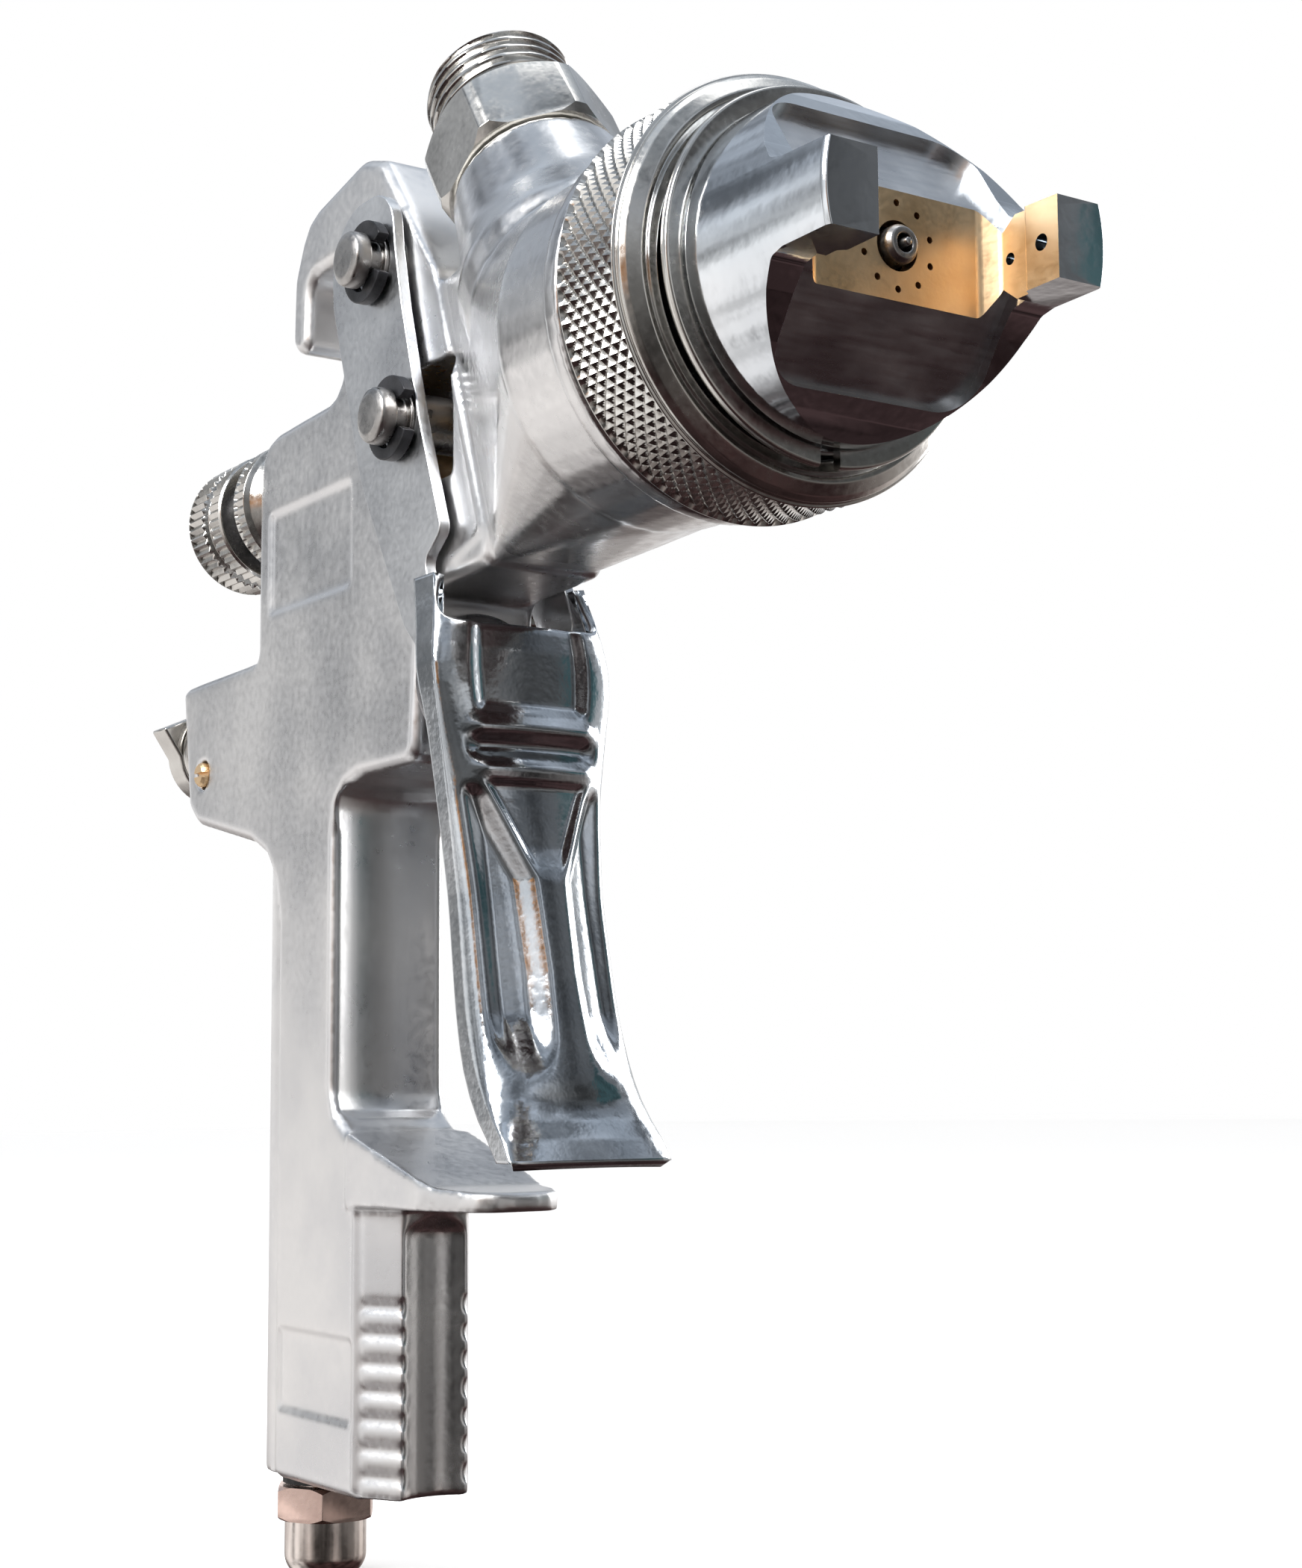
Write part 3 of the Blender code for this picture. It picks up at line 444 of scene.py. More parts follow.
def build_casting():
    """The casting: the CAD solid with blank panels and smooth hollows, remeshed and eased."""
    mesh = nodes["gun_body"].data.copy()
    mesh.materials.clear()
    shape = bmesh.new()
    shape.from_mesh(mesh)
    bmesh.ops.remove_doubles(shape, verts=shape.verts, dist=0.000001)
    shape.to_mesh(mesh)
    shape.free()
    casting = new_object("casting", mesh)
    panel_floor = 6.85
    corner = 0.8
    upper_panel = ((-86.0, -15.3), (-64.5, -2.9))
    lower_panel = ((-81.6, -108.1), (-63.0, -98.7))
    for (rear, bottom), (front, top) in (upper_panel, lower_panel):
        outline = rounded([(rear, bottom, corner), (front, bottom, corner), (front, top, corner),
                           (rear, top, corner)])
        boolean(casting, settle(slab("panel", outline, panel_floor, 9.0), turn=UPRIGHT))
    finger_hollow = [(0, -38.2), (11.4, -38.4), (12.1, -40.2), (12.1, -72.6), (11.4, -74.6), (0, -74.8)]
    boolean(casting, settle(turned("grip_groove", finger_hollow, 192), (-58.2, 0, 0)))
    front_channel = [(0, -85.2), (4.3, -85.4), (5.8, -87.2), (5.8, -117.0), (0, -117.0)]
    boolean(casting, settle(turned("grip_channel", front_channel, 96), (-52.8, 0, 0)))
    remesh = casting.modifiers.new("remesh", "REMESH")
    remesh.mode = "VOXEL"
    remesh.voxel_size = VOXEL * MM
    apply_modifiers(casting)
    ease_casting(casting)
    casting.data.materials.append(looks["cast_aluminium"])
    casting.data.materials.append(looks["polished_aluminium"])
    polish(casting)
    dress(casting, "gun_body", "cast_aluminium", "gun", 60.0)


def ease_casting(casting):
    """Round the casting a little everywhere and more where the neck meets the barrel."""
    mesh = casting.data
    count = len(mesh.vertices)
    places = np.zeros(count * 3)
    mesh.vertices.foreach_get("co", places)
    places = places.reshape(-1, 3) / MM + np.array(THROAT_TOP)
    foot = np.array(NIPPLE_FOOT)
    axis = np.array(NIPPLE_AXIS)
    height = (places - foot) @ axis
    reach = np.linalg.norm(places - foot - height[:, None] * axis, axis=1)
    neck_root = np.clip(1.0 - np.abs(height + 5.0) / 7.0, 0, 1) * np.clip((16.5 - reach) / 3.0, 0, 1)
    outside_bore = np.clip((reach - 7.5) / 1.0, 0, 1)
    behind_ring = np.clip((-9.0 - places[:, 0]) / 3.0, 0, 1)
    weights = neck_root * outside_bore * behind_ring
    group = casting.vertex_groups.new(name="fillets")
    for index in np.nonzero(weights > 0.01)[0]:
        group.add([int(index)], float(weights[index]), "REPLACE")
    add_cast_seam(mesh, places)
    rounding = casting.modifiers.new("rounding", "SMOOTH")
    rounding.factor = 0.5
    rounding.iterations = 8
    fillet = casting.modifiers.new("fillet", "SMOOTH")
    fillet.factor = 0.5
    fillet.iterations = 60
    fillet.vertex_group = "fillets"
    apply_modifiers(casting)
    casting.vertex_groups.clear()


def polish(casting):
    """Put the polished look on the head, outside the flat sides, and in the channel down the grip."""
    for polygon in casting.data.polygons:
        place = Vector(polygon.center) / MM + THROAT_TOP
        above_grip = place.z > -25.0 and place.x > -46.0
        head = above_grip and (abs(place.y) > 7.5 or place.x > -31.0)
        channel = place.z < -85.0 and place.x > -60.0 and abs(place.y) < 3.7
        if head or channel:
            polygon.material_index = 1


def add_cast_seam(mesh, places):
    """Raise the rough seam that the casting mould leaves along the front ridges."""
    seam = np.array([(-52.3, 25.3), (-45.4, 16.5), (-35.1, -14.5), (-42.4, -16.9)])
    ridge_y = 6.9
    tooth = 0.9
    reach = 0.9
    lift = 0.7
    for start, end in zip(seam[:-1], seam[1:]):
        along_seam = (end - start) / np.linalg.norm(end - start)
        offset = places[:, [0, 2]] - start
        travel = offset @ along_seam
        aside = np.abs(offset @ np.array([-along_seam[1], along_seam[0]]))
        away = np.hypot(aside, np.abs(places[:, 1]) - ridge_y)
        inside = (travel > 0) & (travel < np.linalg.norm(end - start))
        near = np.clip(1.0 - away / reach, 0, 1)
        uneven = 0.4 + 0.6 * triangle_wave(travel / tooth)
        places[:, 1] += np.sign(places[:, 1]) * (lift * near * uneven * inside)
    mesh.vertices.foreach_set("co", ((places - np.array(THROAT_TOP)) * MM).ravel())


# ---------------------------------------------------------------- spray head

def build_ring():
    """The retaining ring with its diamond knurl."""
    teeth = 74
    row = 1.6
    depth = 0.55
    low, high = 0.75, 9.35

    def knurl(angle, height, radius):
        inside = (height >= low) & (height <= high) & (radius > RING_RADIUS - 0.05)
        turns = angle * teeth / TURN
        rise = np.minimum(triangle_wave(turns + height / row), triangle_wave(turns - height / row))
        return -depth * (1.0 - rise) * inside

    profile = [(17.6, RING_FRONT), (18.1, RING_FRONT), (19.2, 10.6), (RING_RADIUS - 0.35, 10.1),
               (RING_RADIUS - 0.35, 9.6), (RING_RADIUS, 9.5), (RING_RADIUS, 0.55), (RING_RADIUS - 0.4, 0.1),
               (17.25, 0.1), (17.25, 9.6), (16.1, 9.6), (16.1, RING_FRONT - 0.5), (17.0, RING_FRONT - 0.5)]
    mesh = turned("knurled_ring", profile, steps=teeth * 10, ease=0.12, relief=knurl, longest=row / 8)
    piece("knurled_ring", mesh, "retaining_ring", "nickel", "retaining_ring", turn=ALONG_X, sharp=25.0)


def build_cap():
    """The air cap: chromed outside with two horns, and a bare brass face between them."""
    blank = [(15.1, CAP_FRONT), (15.3, CAP_FRONT - 0.5), (CAP_RADIUS, 16.0), (CAP_RADIUS, 14.5),
             (14.9, 14.4), (14.9, 12.8), (CAP_RADIUS, 12.7), (CAP_RADIUS, 9.3), (16.9, 9.3), (16.9, 7.8),
             (14.2, 7.8), (14.2, 12.0), (9.0, 20.6), (2.25, 21.9), (2.25, CAP_FRONT)]
    cap = new_object("air_cap_shell", settle(turned("air_cap_shell", blank, 256, 0.12), turn=ALONG_X))
    slope = [(15.6, 22.0, 0), (15.6, 16.2, 0), (18.2, 14.0, 0), (21.6, 9.8, 2.0), (23.9, 6.3, 2.0),
             (25.6, 4.2, 1.0), (27.2, 3.8, 0), (CAP_AHEAD, 3.6, 0), (CAP_AHEAD, 22.0, 0)]
    for side in (1, -1):
        points = rounded([(x, side * z, radius) for x, z, radius in slope])
        boolean(cap, settle(slab("slope", points, -22.0, 22.0), turn=UPRIGHT))
    valley = [(CAP_FACE, -9.2, 1.0), (CAP_FACE + 1.6, -10.5, 1.0), (28.7, -10.5, 0.3), (29.2, -9.8, 0.3),
              (CAP_AHEAD, -9.8, 0), (CAP_AHEAD, 9.8, 0), (29.2, 9.8, 0.3), (28.7, 10.5, 0.3),
              (CAP_FACE + 1.6, 10.5, 1.0), (CAP_FACE, 9.2, 1.0)]
    boolean(cap, settle(slab("valley", rounded(valley), -9.0, 9.0)))
    build_scoops(cap)
    drill(cap)
    cap.data.materials.clear()
    cap.data.materials.append(looks["chrome"])
    cap.data.materials.append(looks["brass"])
    cap.data.materials.append(looks["milled_chrome"])
    paint_face(cap)
    add_bevel(cap, 0.22, 3, 30.0)
    dress(cap, "air_cap", "chrome", "air_cap")


def build_scoops(cap):
    """The shallow round-ended scoop in each slope of the cap."""
    down_slope = (SLOPE_RIM - SLOPE_TOP).normalized()
    ridge = 1.9
    end = (SLOPE_RIM - SLOPE_TOP).length - ridge
    half_width = 11.4
    corner = 4.0
    for side in (1, -1):
        pocket = rounded([(-half_width, -4.0, 0), (half_width, -4.0, 0), (half_width, end, corner),
                          (-half_width, end, corner)])
        facing = Matrix(((0, down_slope.x, down_slope.y),
                         (side, 0, 0),
                         (0, side * down_slope.y, -side * down_slope.x)))
        at = Vector((SLOPE_TOP.x, 0, side * SLOPE_TOP.y))
        boolean(cap, settle(slab("scoop", pocket, -SCOOP_DEPTH, 9.0), at, facing))


def drill(cap):
    """The ring of small air holes round the nozzle and the two holes in each horn."""
    holes = 10
    circle = 3.84
    hole_radius = 0.32
    for hole in range(holes):
        turn = TURN * (hole + 0.5) / holes
        bore = turned("air_hole", [(0, 26.0), (hole_radius, 26.0), (hole_radius, 20.0), (0, 20.0)], 16, 0.0)
        boolean(cap, settle(bore, (0, circle * math.cos(turn), circle * math.sin(turn)), ALONG_X))
    for x, radius in ((26.5, 0.55), (31.2, 0.75)):
        for side in (-1, 1):
            bore = turned("horn_hole", [(0, 12.6), (radius, 12.6), (radius, 8.0), (0, 8.0)], 24, 0.0)
            boolean(cap, settle(bore, (x, 0, 0), along((0, side, 0))))


def paint_face(cap):
    """Brass on the cap's centre face and the horns' inner faces, and the milled look in the scoops."""
    down_slope = (SLOPE_RIM - SLOPE_TOP).normalized()
    horn_gap = 10.65
    bore_ring = 4.4
    bore_depth = 2.0
    for polygon in cap.data.polygons:
        place = Vector(polygon.center) / MM + THROAT_TOP
        below = (SLOPE_TOP.x - place.x) * down_slope.y - (SLOPE_TOP.y - abs(place.z)) * down_slope.x
        slanted = abs(polygon.normal.x - down_slope.y) < 0.05
        if slanted and abs(below - SCOOP_DEPTH) < 0.2:
            polygon.material_index = 2
        between_horns = abs(place.y) < horn_gap and place.x > CAP_FACE - 0.05
        centre_face = abs(polygon.normal.x) > 0.9 and place.x < CAP_FACE + 0.1
        inner_face = abs(polygon.normal.y) > 0.3 and place.x < CAP_FRONT - 0.1
        near_face = CAP_FACE - bore_depth < place.x < CAP_FACE + 0.1
        hole_wall = near_face and math.hypot(place.y, place.z) < bore_ring
        if (between_horns and (centre_face or inner_face)) or hole_wall:
            polygon.material_index = 1


def build_nozzle():
    """The snap ring, fluid nozzle and needle."""
    split_ring = turned("split_ring", [(17.45, 14.1), (17.45, 13.1), (15.2, 13.1), (15.2, 14.1)], 256, 0.35)
    ring = new_object("split_ring", settle(split_ring, turn=ALONG_X))
    boolean(ring, settle(box_mesh("gap", (12.0, -1.1, -19.5), (15.0, 1.1, -12.0))))
    dress(ring, "cap_snap_ring", "nickel", "air_cap")
    nozzle = [(1.4, 24.9), (1.75, 24.4), (1.75, 21.2), (3.2, 21.0), (6.4, 9.6), (7.4, 9.4), (8.4, 8.6),
              (8.4, 6.3), (6.0, 6.2), (6.0, -9.7), (2.2, -9.7), (2.2, 17.5), (0.85, 24.2), (0.85, 24.9)]
    piece("nozzle", turned("nozzle", nozzle, 96), "fluid_nozzle", "steel", "gun", turn=ALONG_X)
    needle = [(0, 25.5), (0.35, 25.4), (1.2, 18.5), (1.2, -99.0), (0, -99.0)]
    piece("needle", turned("needle", needle, 48, 0.1), "fluid_needle", "steel", "needle", turn=ALONG_X)


# ---------------------------------------------------------------- cup nipple

def build_nipple():
    """The cup nipple: a chamfered hexagon under a real helical thread."""
    foot, top = 4.5, 13.3
    bore_radius = 4.6
    upright = along(NIPPLE_AXIS)
    flats = settle(slab("nipple_hex", hexagon(19.0), foot, top), NIPPLE_FOOT, upright)
    hex_part = new_object("nipple_hex", flats)
    trim = [(0, top + 1), (9.2, top + 0.2), (10.6, top - 1.3), (10.6, foot + 0.9), (9.8, foot - 0.2),
            (0, foot - 1)]
    boolean(hex_part, settle(turned("hex_trim", trim, 128, 0.05), NIPPLE_FOOT, upright), "INTERSECT")
    bore = [(0, 20.0), (bore_radius, 20.0), (bore_radius, -5.0), (0, -5.0)]
    boolean(hex_part, settle(turned("hex_bore", bore, 96, 0.0), NIPPLE_FOOT, upright))
    dress(hex_part, "cup_nipple", "nickel", "gun", 30.0)

    tooth = 0.8
    root = THREAD_RADIUS - tooth
    low, high = 14.4, 21.1

    def helix(angle, height, radius):
        crest = np.clip(1.9 * triangle_wave(height / THREAD_PITCH + angle / TURN) - 0.35, 0, 1)
        fade = np.clip((height - low) / 0.8, 0, 1) * np.clip((high - height) / 0.8, 0, 1)
        return tooth * crest * fade * (radius > root - 0.05)

    tube = [(root - 0.5, 21.6), (root, 21.1), (root, 13.4), (root - 0.4, 12.6), (bore_radius, 12.6),
            (bore_radius, 21.6)]
    mesh = turned("nipple_thread", tube, 144, 0.15, helix, THREAD_PITCH / 10)
    piece("nipple_thread", mesh, "cup_nipple", "nickel", "gun", NIPPLE_FOOT, upright, 50.0)


# ---------------------------------------------------------------- rear controls

def build_rear_controls():
    """The knurled fluid knob, its locknut and sleeve, and the air-flow control below them."""
    teeth = 48
    knob = [(0, -104.5), (5.9, -104.5), (5.9, -98.8), (KNOB_RADIUS - 0.3, -98.8), (KNOB_RADIUS, -99.2),
            (KNOB_RADIUS, -102.2), (7.4, -102.6), (7.4, -103.8), (KNOB_RADIUS, -104.2),
            (KNOB_RADIUS, -108.0), (7.6, -108.7), (0, -108.7)]
    knurl = straight_knurl(teeth, 0.4, [(-102.25, -99.15), (-108.05, -104.15)])
    mesh = turned("fluid_knob", knob, teeth * 6, 0.1, knurl, 0.4)
    piece("fluid_adjusting_knob", mesh, "fluid_knob", "nickel", "fluid_knob", turn=ALONG_X, sharp=25.0)
    locknut = [(6.2, -89.8), (7.6, -91.2), (KNOB_RADIUS, -91.6), (KNOB_RADIUS, -94.4), (5.9, -94.4),
               (5.9, -89.8)]
    knurl = straight_knurl(teeth, 0.35, [(-94.3, -91.65)])
    mesh = turned("locknut", locknut, teeth * 6, 0.1, knurl, 0.4)
    piece("locknut", mesh, "knob_locknut", "nickel", "gun", turn=ALONG_X, sharp=25.0)
    sleeve = [(5.6, -79.6), (5.6, -102.0), (4.1, -102.0), (4.1, -87.0), (2.2, -87.0), (2.2, -86.3),
              (3.9, -86.3), (3.9, -79.6)]

    def sleeve_thread(angle, height, radius):
        return -0.25 * triangle_wave(height / 0.8 + angle / TURN) * (radius > 5.5) * (height < -94.4)

    mesh = turned("sleeve", sleeve, 96, 0.1, sleeve_thread, 0.1)
    # the sleeve is coloured near black as painted shadow for the dark gap between the locknut and the knob
    mesh.materials.append(looks["blackened_steel"])
    piece("sleeve", mesh, "knob_sleeve", "nickel", "gun", turn=ALONG_X, sharp=50.0)
    valve = [(0, -80.6), (2.4, -80.6), (2.4, -92.3), (5.3, -92.3), (5.3, -112.4), (6.2, -112.4),
             (6.2, -113.7), (3.0, -113.7), (3.0, -118.3), (0, -118.3)]
    mesh = turned("flow_valve", valve, 96)
    piece("flow_valve", mesh, "air_flow_valve", "nickel", "air_flow", VALVE_LINE, ALONG_X)
    build_flow_knob()


def build_flow_knob():
    """The thin flow knob: a disc with one pointed lobe."""
    radius = 6.4
    lobe = (8.7, 2.9)
    disc = [(radius * math.cos(turn), radius * math.sin(turn))
            for turn in (math.radians(50 + 8 * step) for step in range(39))]
    at = (-116.2, 0, VALVE_LINE.z)
    facing_back = Matrix(((0, 0, -1), (-1, 0, 0), (0, 1, 0)))
    knob = new_object("flow_knob", settle(slab("flow_knob", [lobe] + disc, -2.1, 2.1), at, facing_back))
    bore = turned("flow_bore", [(0, -110.0), (3.3, -110.0), (3.3, -125.0), (0, -125.0)], 64, 0.0)
    boolean(knob, settle(bore, VALVE_LINE, ALONG_X))
    add_bevel(knob, 0.35, 3)
    dress(knob, "air_flow_knob", "nickel", "air_flow")


def build_fan_control():
    """The spray-width knob on the left side."""
    bush = [(6.0, 12.2), (6.0, 7.7), (3.6, 7.7), (3.6, 0.5), (1.9, 0.5), (1.9, 12.2)]
    piece("fan_bush", turned("fan_bush", bush, 96), "fan_control_bush", "nickel", "gun", FAN_SEAT, ALONG_Y)
    teeth = 40
    knob = [(0, 22.4), (6.4, 22.4), (7.2, 21.6), (7.2, 12.7), (1.9, 12.7), (1.9, 20.4), (0, 20.4)]

    def knurl(angle, height, radius):
        inside = (radius > 7.1) & (height > 13.3) & (height < 21.2)
        return -0.35 * triangle_wave(angle * teeth / TURN) * inside

    mesh = turned("fan_knob", knob, teeth * 6, 0.12, knurl, 0.4)
    piece("fan_knob", mesh, "fan_control_knob", "nickel", "fan_control", FAN_SEAT, ALONG_Y, 25.0)


# ---------------------------------------------------------------- trigger

def ear_outline():
    """Side view of one trigger ear, from its round top down to where it meets the finger piece."""
    return [
        (-50.6, 20.0, 4.0), (-51.6, 27.2, 5.0), (-66.0, 27.2, 7.0), (-65.6, 17.0, 6.0), (-58.5, -5.0, 20.0),
        (-48.0, -23.0, 3.0), (-43.6, -27.0, 2.0), (-41.4, -22.0, 1.0), (-43.6, -16.4, 1.5),
        (-40.0, -13.6, 1.5), (-44.8, -1.0, 30.0), (-49.0, 13.0, 20.0),
    ]


def read(stations, height):
    """Smoothly read a value at heights from a list of (height, value) stations, top first."""
    heights = np.array([station[0] for station in stations])[::-1]
    values = np.array([station[1] for station in stations])[::-1]
    height = np.asarray(height, dtype=float)
    spread = 2.2
    total = 0.0
    for offset, weight in ((-1.0, 0.25), (0.0, 0.5), (1.0, 0.25)):
        total = total + weight * np.interp(height + offset * spread, heights, values)
    return total


def step_up(value, low, high):
    """Smooth step from 0 at low to 1 at high."""
    share = np.clip((value - low) / (high - low), 0, 1)
    return share * share * (3 - 2 * share)


def step_down(value, low, high):
    """Smooth step from 1 at low to 0 at high."""
    return 1 - step_up(value, low, high)


def swell(value, middle, spread):
    """Smooth swell that is 1 at the middle and dies away on both sides."""
    return np.exp(-((value - middle) / spread) ** 2)


def trigger_relief(across, height):
    """How far the pressed front of the trigger stands back, in mm. across runs from -1 to 1.

    From the top: a flat panel, a groove between two beads, a flute on each side of a rib that widens
    upward round a shallow vee, and a pad near the foot.
    """
    sideways = np.abs(across)
    down = -height
    middle_part = step_down(sideways, 0.6, 0.85)
    flute_top, flute_foot = 40.0, 71.5
    panel = 0.9 * step_up(height, -33.6, -31.8) * step_down(sideways, 0.50, 0.70)
    groove = 0.9 * swell(height, -36.7, 1.0) * middle_part
    beads = -0.45 * (swell(height, -34.6, 0.8) + swell(height, -39.0, 0.8)) * middle_part
    rib = np.interp(down, [flute_top, 50.5, 60.0, 67.0, 70.0], [0.66, 0.17, 0.14, 0.17, 0.24])
    lengthwise = step_up(down, flute_top, flute_top + 2.0) * step_down(down, 64.0, flute_foot)
    flutes = 1.9 * step_up(sideways, rib, rib + 0.26) * step_down(sideways, 0.62, 0.96) * lengthwise
    vee = 0.7 * step_down(sideways, rib - 0.1, rib + 0.05) * step_up(down, flute_top, flute_top + 1.0)
    vee = vee * step_down(down, 47.0, 51.0)
    pad = 0.5 * swell(height, -74.0, 2.0) * step_down(sideways, 0.3, 0.8)
    return panel + groove + beads + flutes + vee + pad


def build_trigger():
    """The pressed trigger: a finger channel with its front relief, and an ear up each side of the body."""
    half_width = [(-18.0, 9.2), (-22.0, 10.0), (-28.0, 11.0), (-34.0, 10.2), (-42.0, 9.2), (-52.0, 8.6),
                  (-64.0, 8.9), (-73.0, 9.2), (TRIGGER_FOOT, 9.5)]
    side_front = [(-18.0, -41.6), (-24.0, -39.6), (-30.0, -38.6), (-42.0, -38.6), (-52.0, -37.6),
                  (-64.0, -35.4), (-69.0, -33.6), (-73.0, -31.2), (TRIGGER_FOOT, -25.0)]
    crest = [(-18.0, -39.6), (-24.0, -36.7), (-34.0, -36.0), (-42.0, -34.8), (-52.0, -32.6),
             (-62.0, -30.2), (-70.0, -28.0), (-75.0, -26.4), (TRIGGER_FOOT, -23.8)]
    side_rear = [(-18.0, -46.0), (-24.0, -43.2), (-34.0, -41.2), (-42.0, -40.8), (-52.0, -39.4),
                 (-64.0, -37.2), (-70.0, -35.4), (-75.0, -32.2), (TRIGGER_FOOT, -27.4)]
    rows, across, flank = 180, 60, 12
    column = np.arange(-across - flank, across + flank + 1)[None, :]
    share = np.clip(column / across, -1, 1)
    top = -18.0 - 5.4 * (1.0 - np.abs(share) ** 8)
    level = np.linspace(0, 1, rows + 1)[:, None]
    height = top + (TRIGGER_FOOT - top) * level
    width = read(half_width, height)
    front = read(side_front, height)
    crown = read(crest, height)
    back = read(side_rear, height)
    past = np.clip((np.abs(column) - across) / flank, 0, 1)
    angle = share * math.pi / 2
    bulge = np.cos(angle) ** 1.1
    x = front + (crown - front) * bulge + (back - front) * past
    y = width * np.sin(angle)
    x = x - trigger_relief(np.sin(angle), height) * (past == 0)
    grid = np.stack([x, y, height + 0 * x], axis=-1)
    channel = new_object("trigger_channel", settle(grid_mesh("trigger_channel", grid, around=False)))
    sheet = channel.modifiers.new("sheet", "SOLIDIFY")
    sheet.thickness = SHEET * MM
    sheet.offset = -1.0
    # darker chrome on the trigger channel, as painted shade
    channel.data.materials.append(looks["trigger_chrome_painted_shade"])
    dress(channel, "trigger", "chrome", "trigger", 40.0)
    for side, name in ((1, "trigger_ear_left"), (-1, "trigger_ear_right")):
        mesh = slab(name, rounded(ear_outline()), -SHEET / 2, SHEET / 2)
        ear = new_object(name, settle(mesh, (0, side * 8.55, 0), UPRIGHT))
        for pin in (PIVOT, PUSH_PIN):
            hole = turned("pin_hole", [(0, 12.0), (3.4, 12.0), (3.4, -12.0), (0, -12.0)], 64, 0.0)
            boolean(ear, settle(hole, pin, ALONG_Y))
        add_bevel(ear, 0.2, 2)
        ear.data.materials.append(looks["satin_chrome"])
        dress(ear, "trigger", "chrome", "trigger", 40.0)


def build_pins():
    """The pivot pin and the push pin with their spring clips."""
    facing_right = along((0, -1, 0))
    shank = [(0, 13.3), (2.2, 13.25), (2.95, 12.9), (3.1, 12.4), (3.1, 11.1), (2.3, 11.1), (2.3, 9.5),
             (3.1, 9.5), (3.1, -9.5), (4.4, -9.5), (4.4, -10.8), (0, -10.8)]
    for point, pin_node, clip_node, body in (
            (PIVOT, "trigger_pivot_pin", "pivot_pin_clip", "gun"),
            (PUSH_PIN, "trigger_push_pin", "push_pin_clip", "trigger")):
        pin = new_object(pin_node + "_turned", settle(turned("pin", shank, 96, 0.25), point, facing_right))
        if pin_node == "trigger_push_pin":
            low = point + Vector((-8.0, -1.6, -1.9))
            high = point + Vector((8.0, 1.6, 2.5))
            boolean(pin, settle(box_mesh("needle_hole", low, high)))
        dress(pin, pin_node, "steel", body)
        plate = settle(slab("clip", clip_outline(), 9.6, 10.9), point, facing_right)
        clip = new_object(clip_node + "_cut", plate)
        add_bevel(clip, 0.12, 2)
        dress(clip, clip_node, "blackened_steel", body)


def clip_outline():
    """Outline of a retaining clip: a ring open at one side, with three teeth inside."""
    opening = math.radians(28)
    outside = 4.6
    inside = 3.3
    tooth_length = 0.8
    steps = 48
    outer = []
    inner = []
    for step in range(steps + 1):
        turn = opening + (TURN - 2 * opening) * step / steps
        tooth = max(math.cos(3 * (turn - math.pi)), 0.0) ** 0.5
        reach = inside - tooth_length * tooth
        outer.append((outside * math.cos(turn), outside * math.sin(turn)))
        inner.append((reach * math.cos(turn), reach * math.sin(turn)))
    return outer + inner[::-1]


# ---------------------------------------------------------------- valve nut and air inlet

def build_valve_nut_and_inlet():
    """The air valve's nut under the head, and the air inlet fitting under the grip."""
    nut = [(4.2, -46.0), (5.6, -46.2), (6.1, -46.9), (7.5, -47.0), (7.9, -47.3), (7.9, -47.9), (5.0, -47.9),
           (5.0, -56.0), (2.2, -56.0), (2.2, -46.0)]
    mesh = turned("valve_nut", nut, 96, 0.2)
    piece("valve_nut", mesh, "air_valve_nut", "spring_steel", "gun", VALVE_LINE, ALONG_X)
    flats = new_object("inlet_hex", settle(slab("inlet_hex", hexagon(10.6), -120.9, -117.1), INLET_FOOT))
    trim = [(0, -116.0), (5.2, -116.9), (6.1, -117.6), (6.1, -120.4), (5.2, -121.1), (0, -122.0)]
    boolean(flats, settle(turned("inlet_trim", trim, 96, 0.05), INLET_FOOT), "INTERSECT")
    dress(flats, "air_inlet_fitting", "copper_tint", "gun")
    tail = [(2.4, -110.0), (3.6, -110.0), (3.6, -118.0), (4.7, -118.0), (4.7, -125.6), (3.9, -127.0),
            (2.4, -127.0)]
    tail_mesh = turned("inlet_tail", tail, 96, 0.7)
    tail_mesh.materials.append(looks["tinted_nickel"])
    piece("inlet_tail", tail_mesh, "air_inlet_fitting", "copper_tint", "gun", INLET_FOOT)


# ---------------------------------------------------------------- studio

def make_camera():
    """The camera close to the head, a little below the barrel and looking slightly up."""
    data = bpy.data.cameras.new("camera")
    data.lens = CAMERA_LENS
    data.sensor_width = 36.0
    data.clip_start = 0.01
    data.clip_end = 20.0
    camera = bpy.data.objects.new("camera", data)
    bpy.context.scene.collection.objects.link(camera)
    forward = Vector((-math.cos(CAMERA_BEARING) * math.cos(CAMERA_RISE),
                      math.sin(CAMERA_BEARING) * math.cos(CAMERA_RISE), math.sin(CAMERA_RISE)))
    camera.rotation_mode = "QUATERNION"
    camera.rotation_quaternion = forward.to_track_quat("-Z", "Y") @ Quaternion((0, 0, 1), CAMERA_ROLL)
    camera.location = (CAMERA_AT - THROAT_TOP) * MM
    bpy.context.scene.camera = camera


def toward(tree, looking, direction, least, most, low, high):
    """A value from least to most as the way a reflection looks nears a direction.

    It starts to change at the cosine low and has all changed at the cosine high.
    """
    product = tree.nodes.new("ShaderNodeVectorMath")
    product.operation = "DOT_PRODUCT"
    product.inputs[1].default_value = Vector(direction).normalized()
    tree.links.new(looking, product.inputs[0])
    return remap(tree, product.outputs["Value"], least, most, low, high)


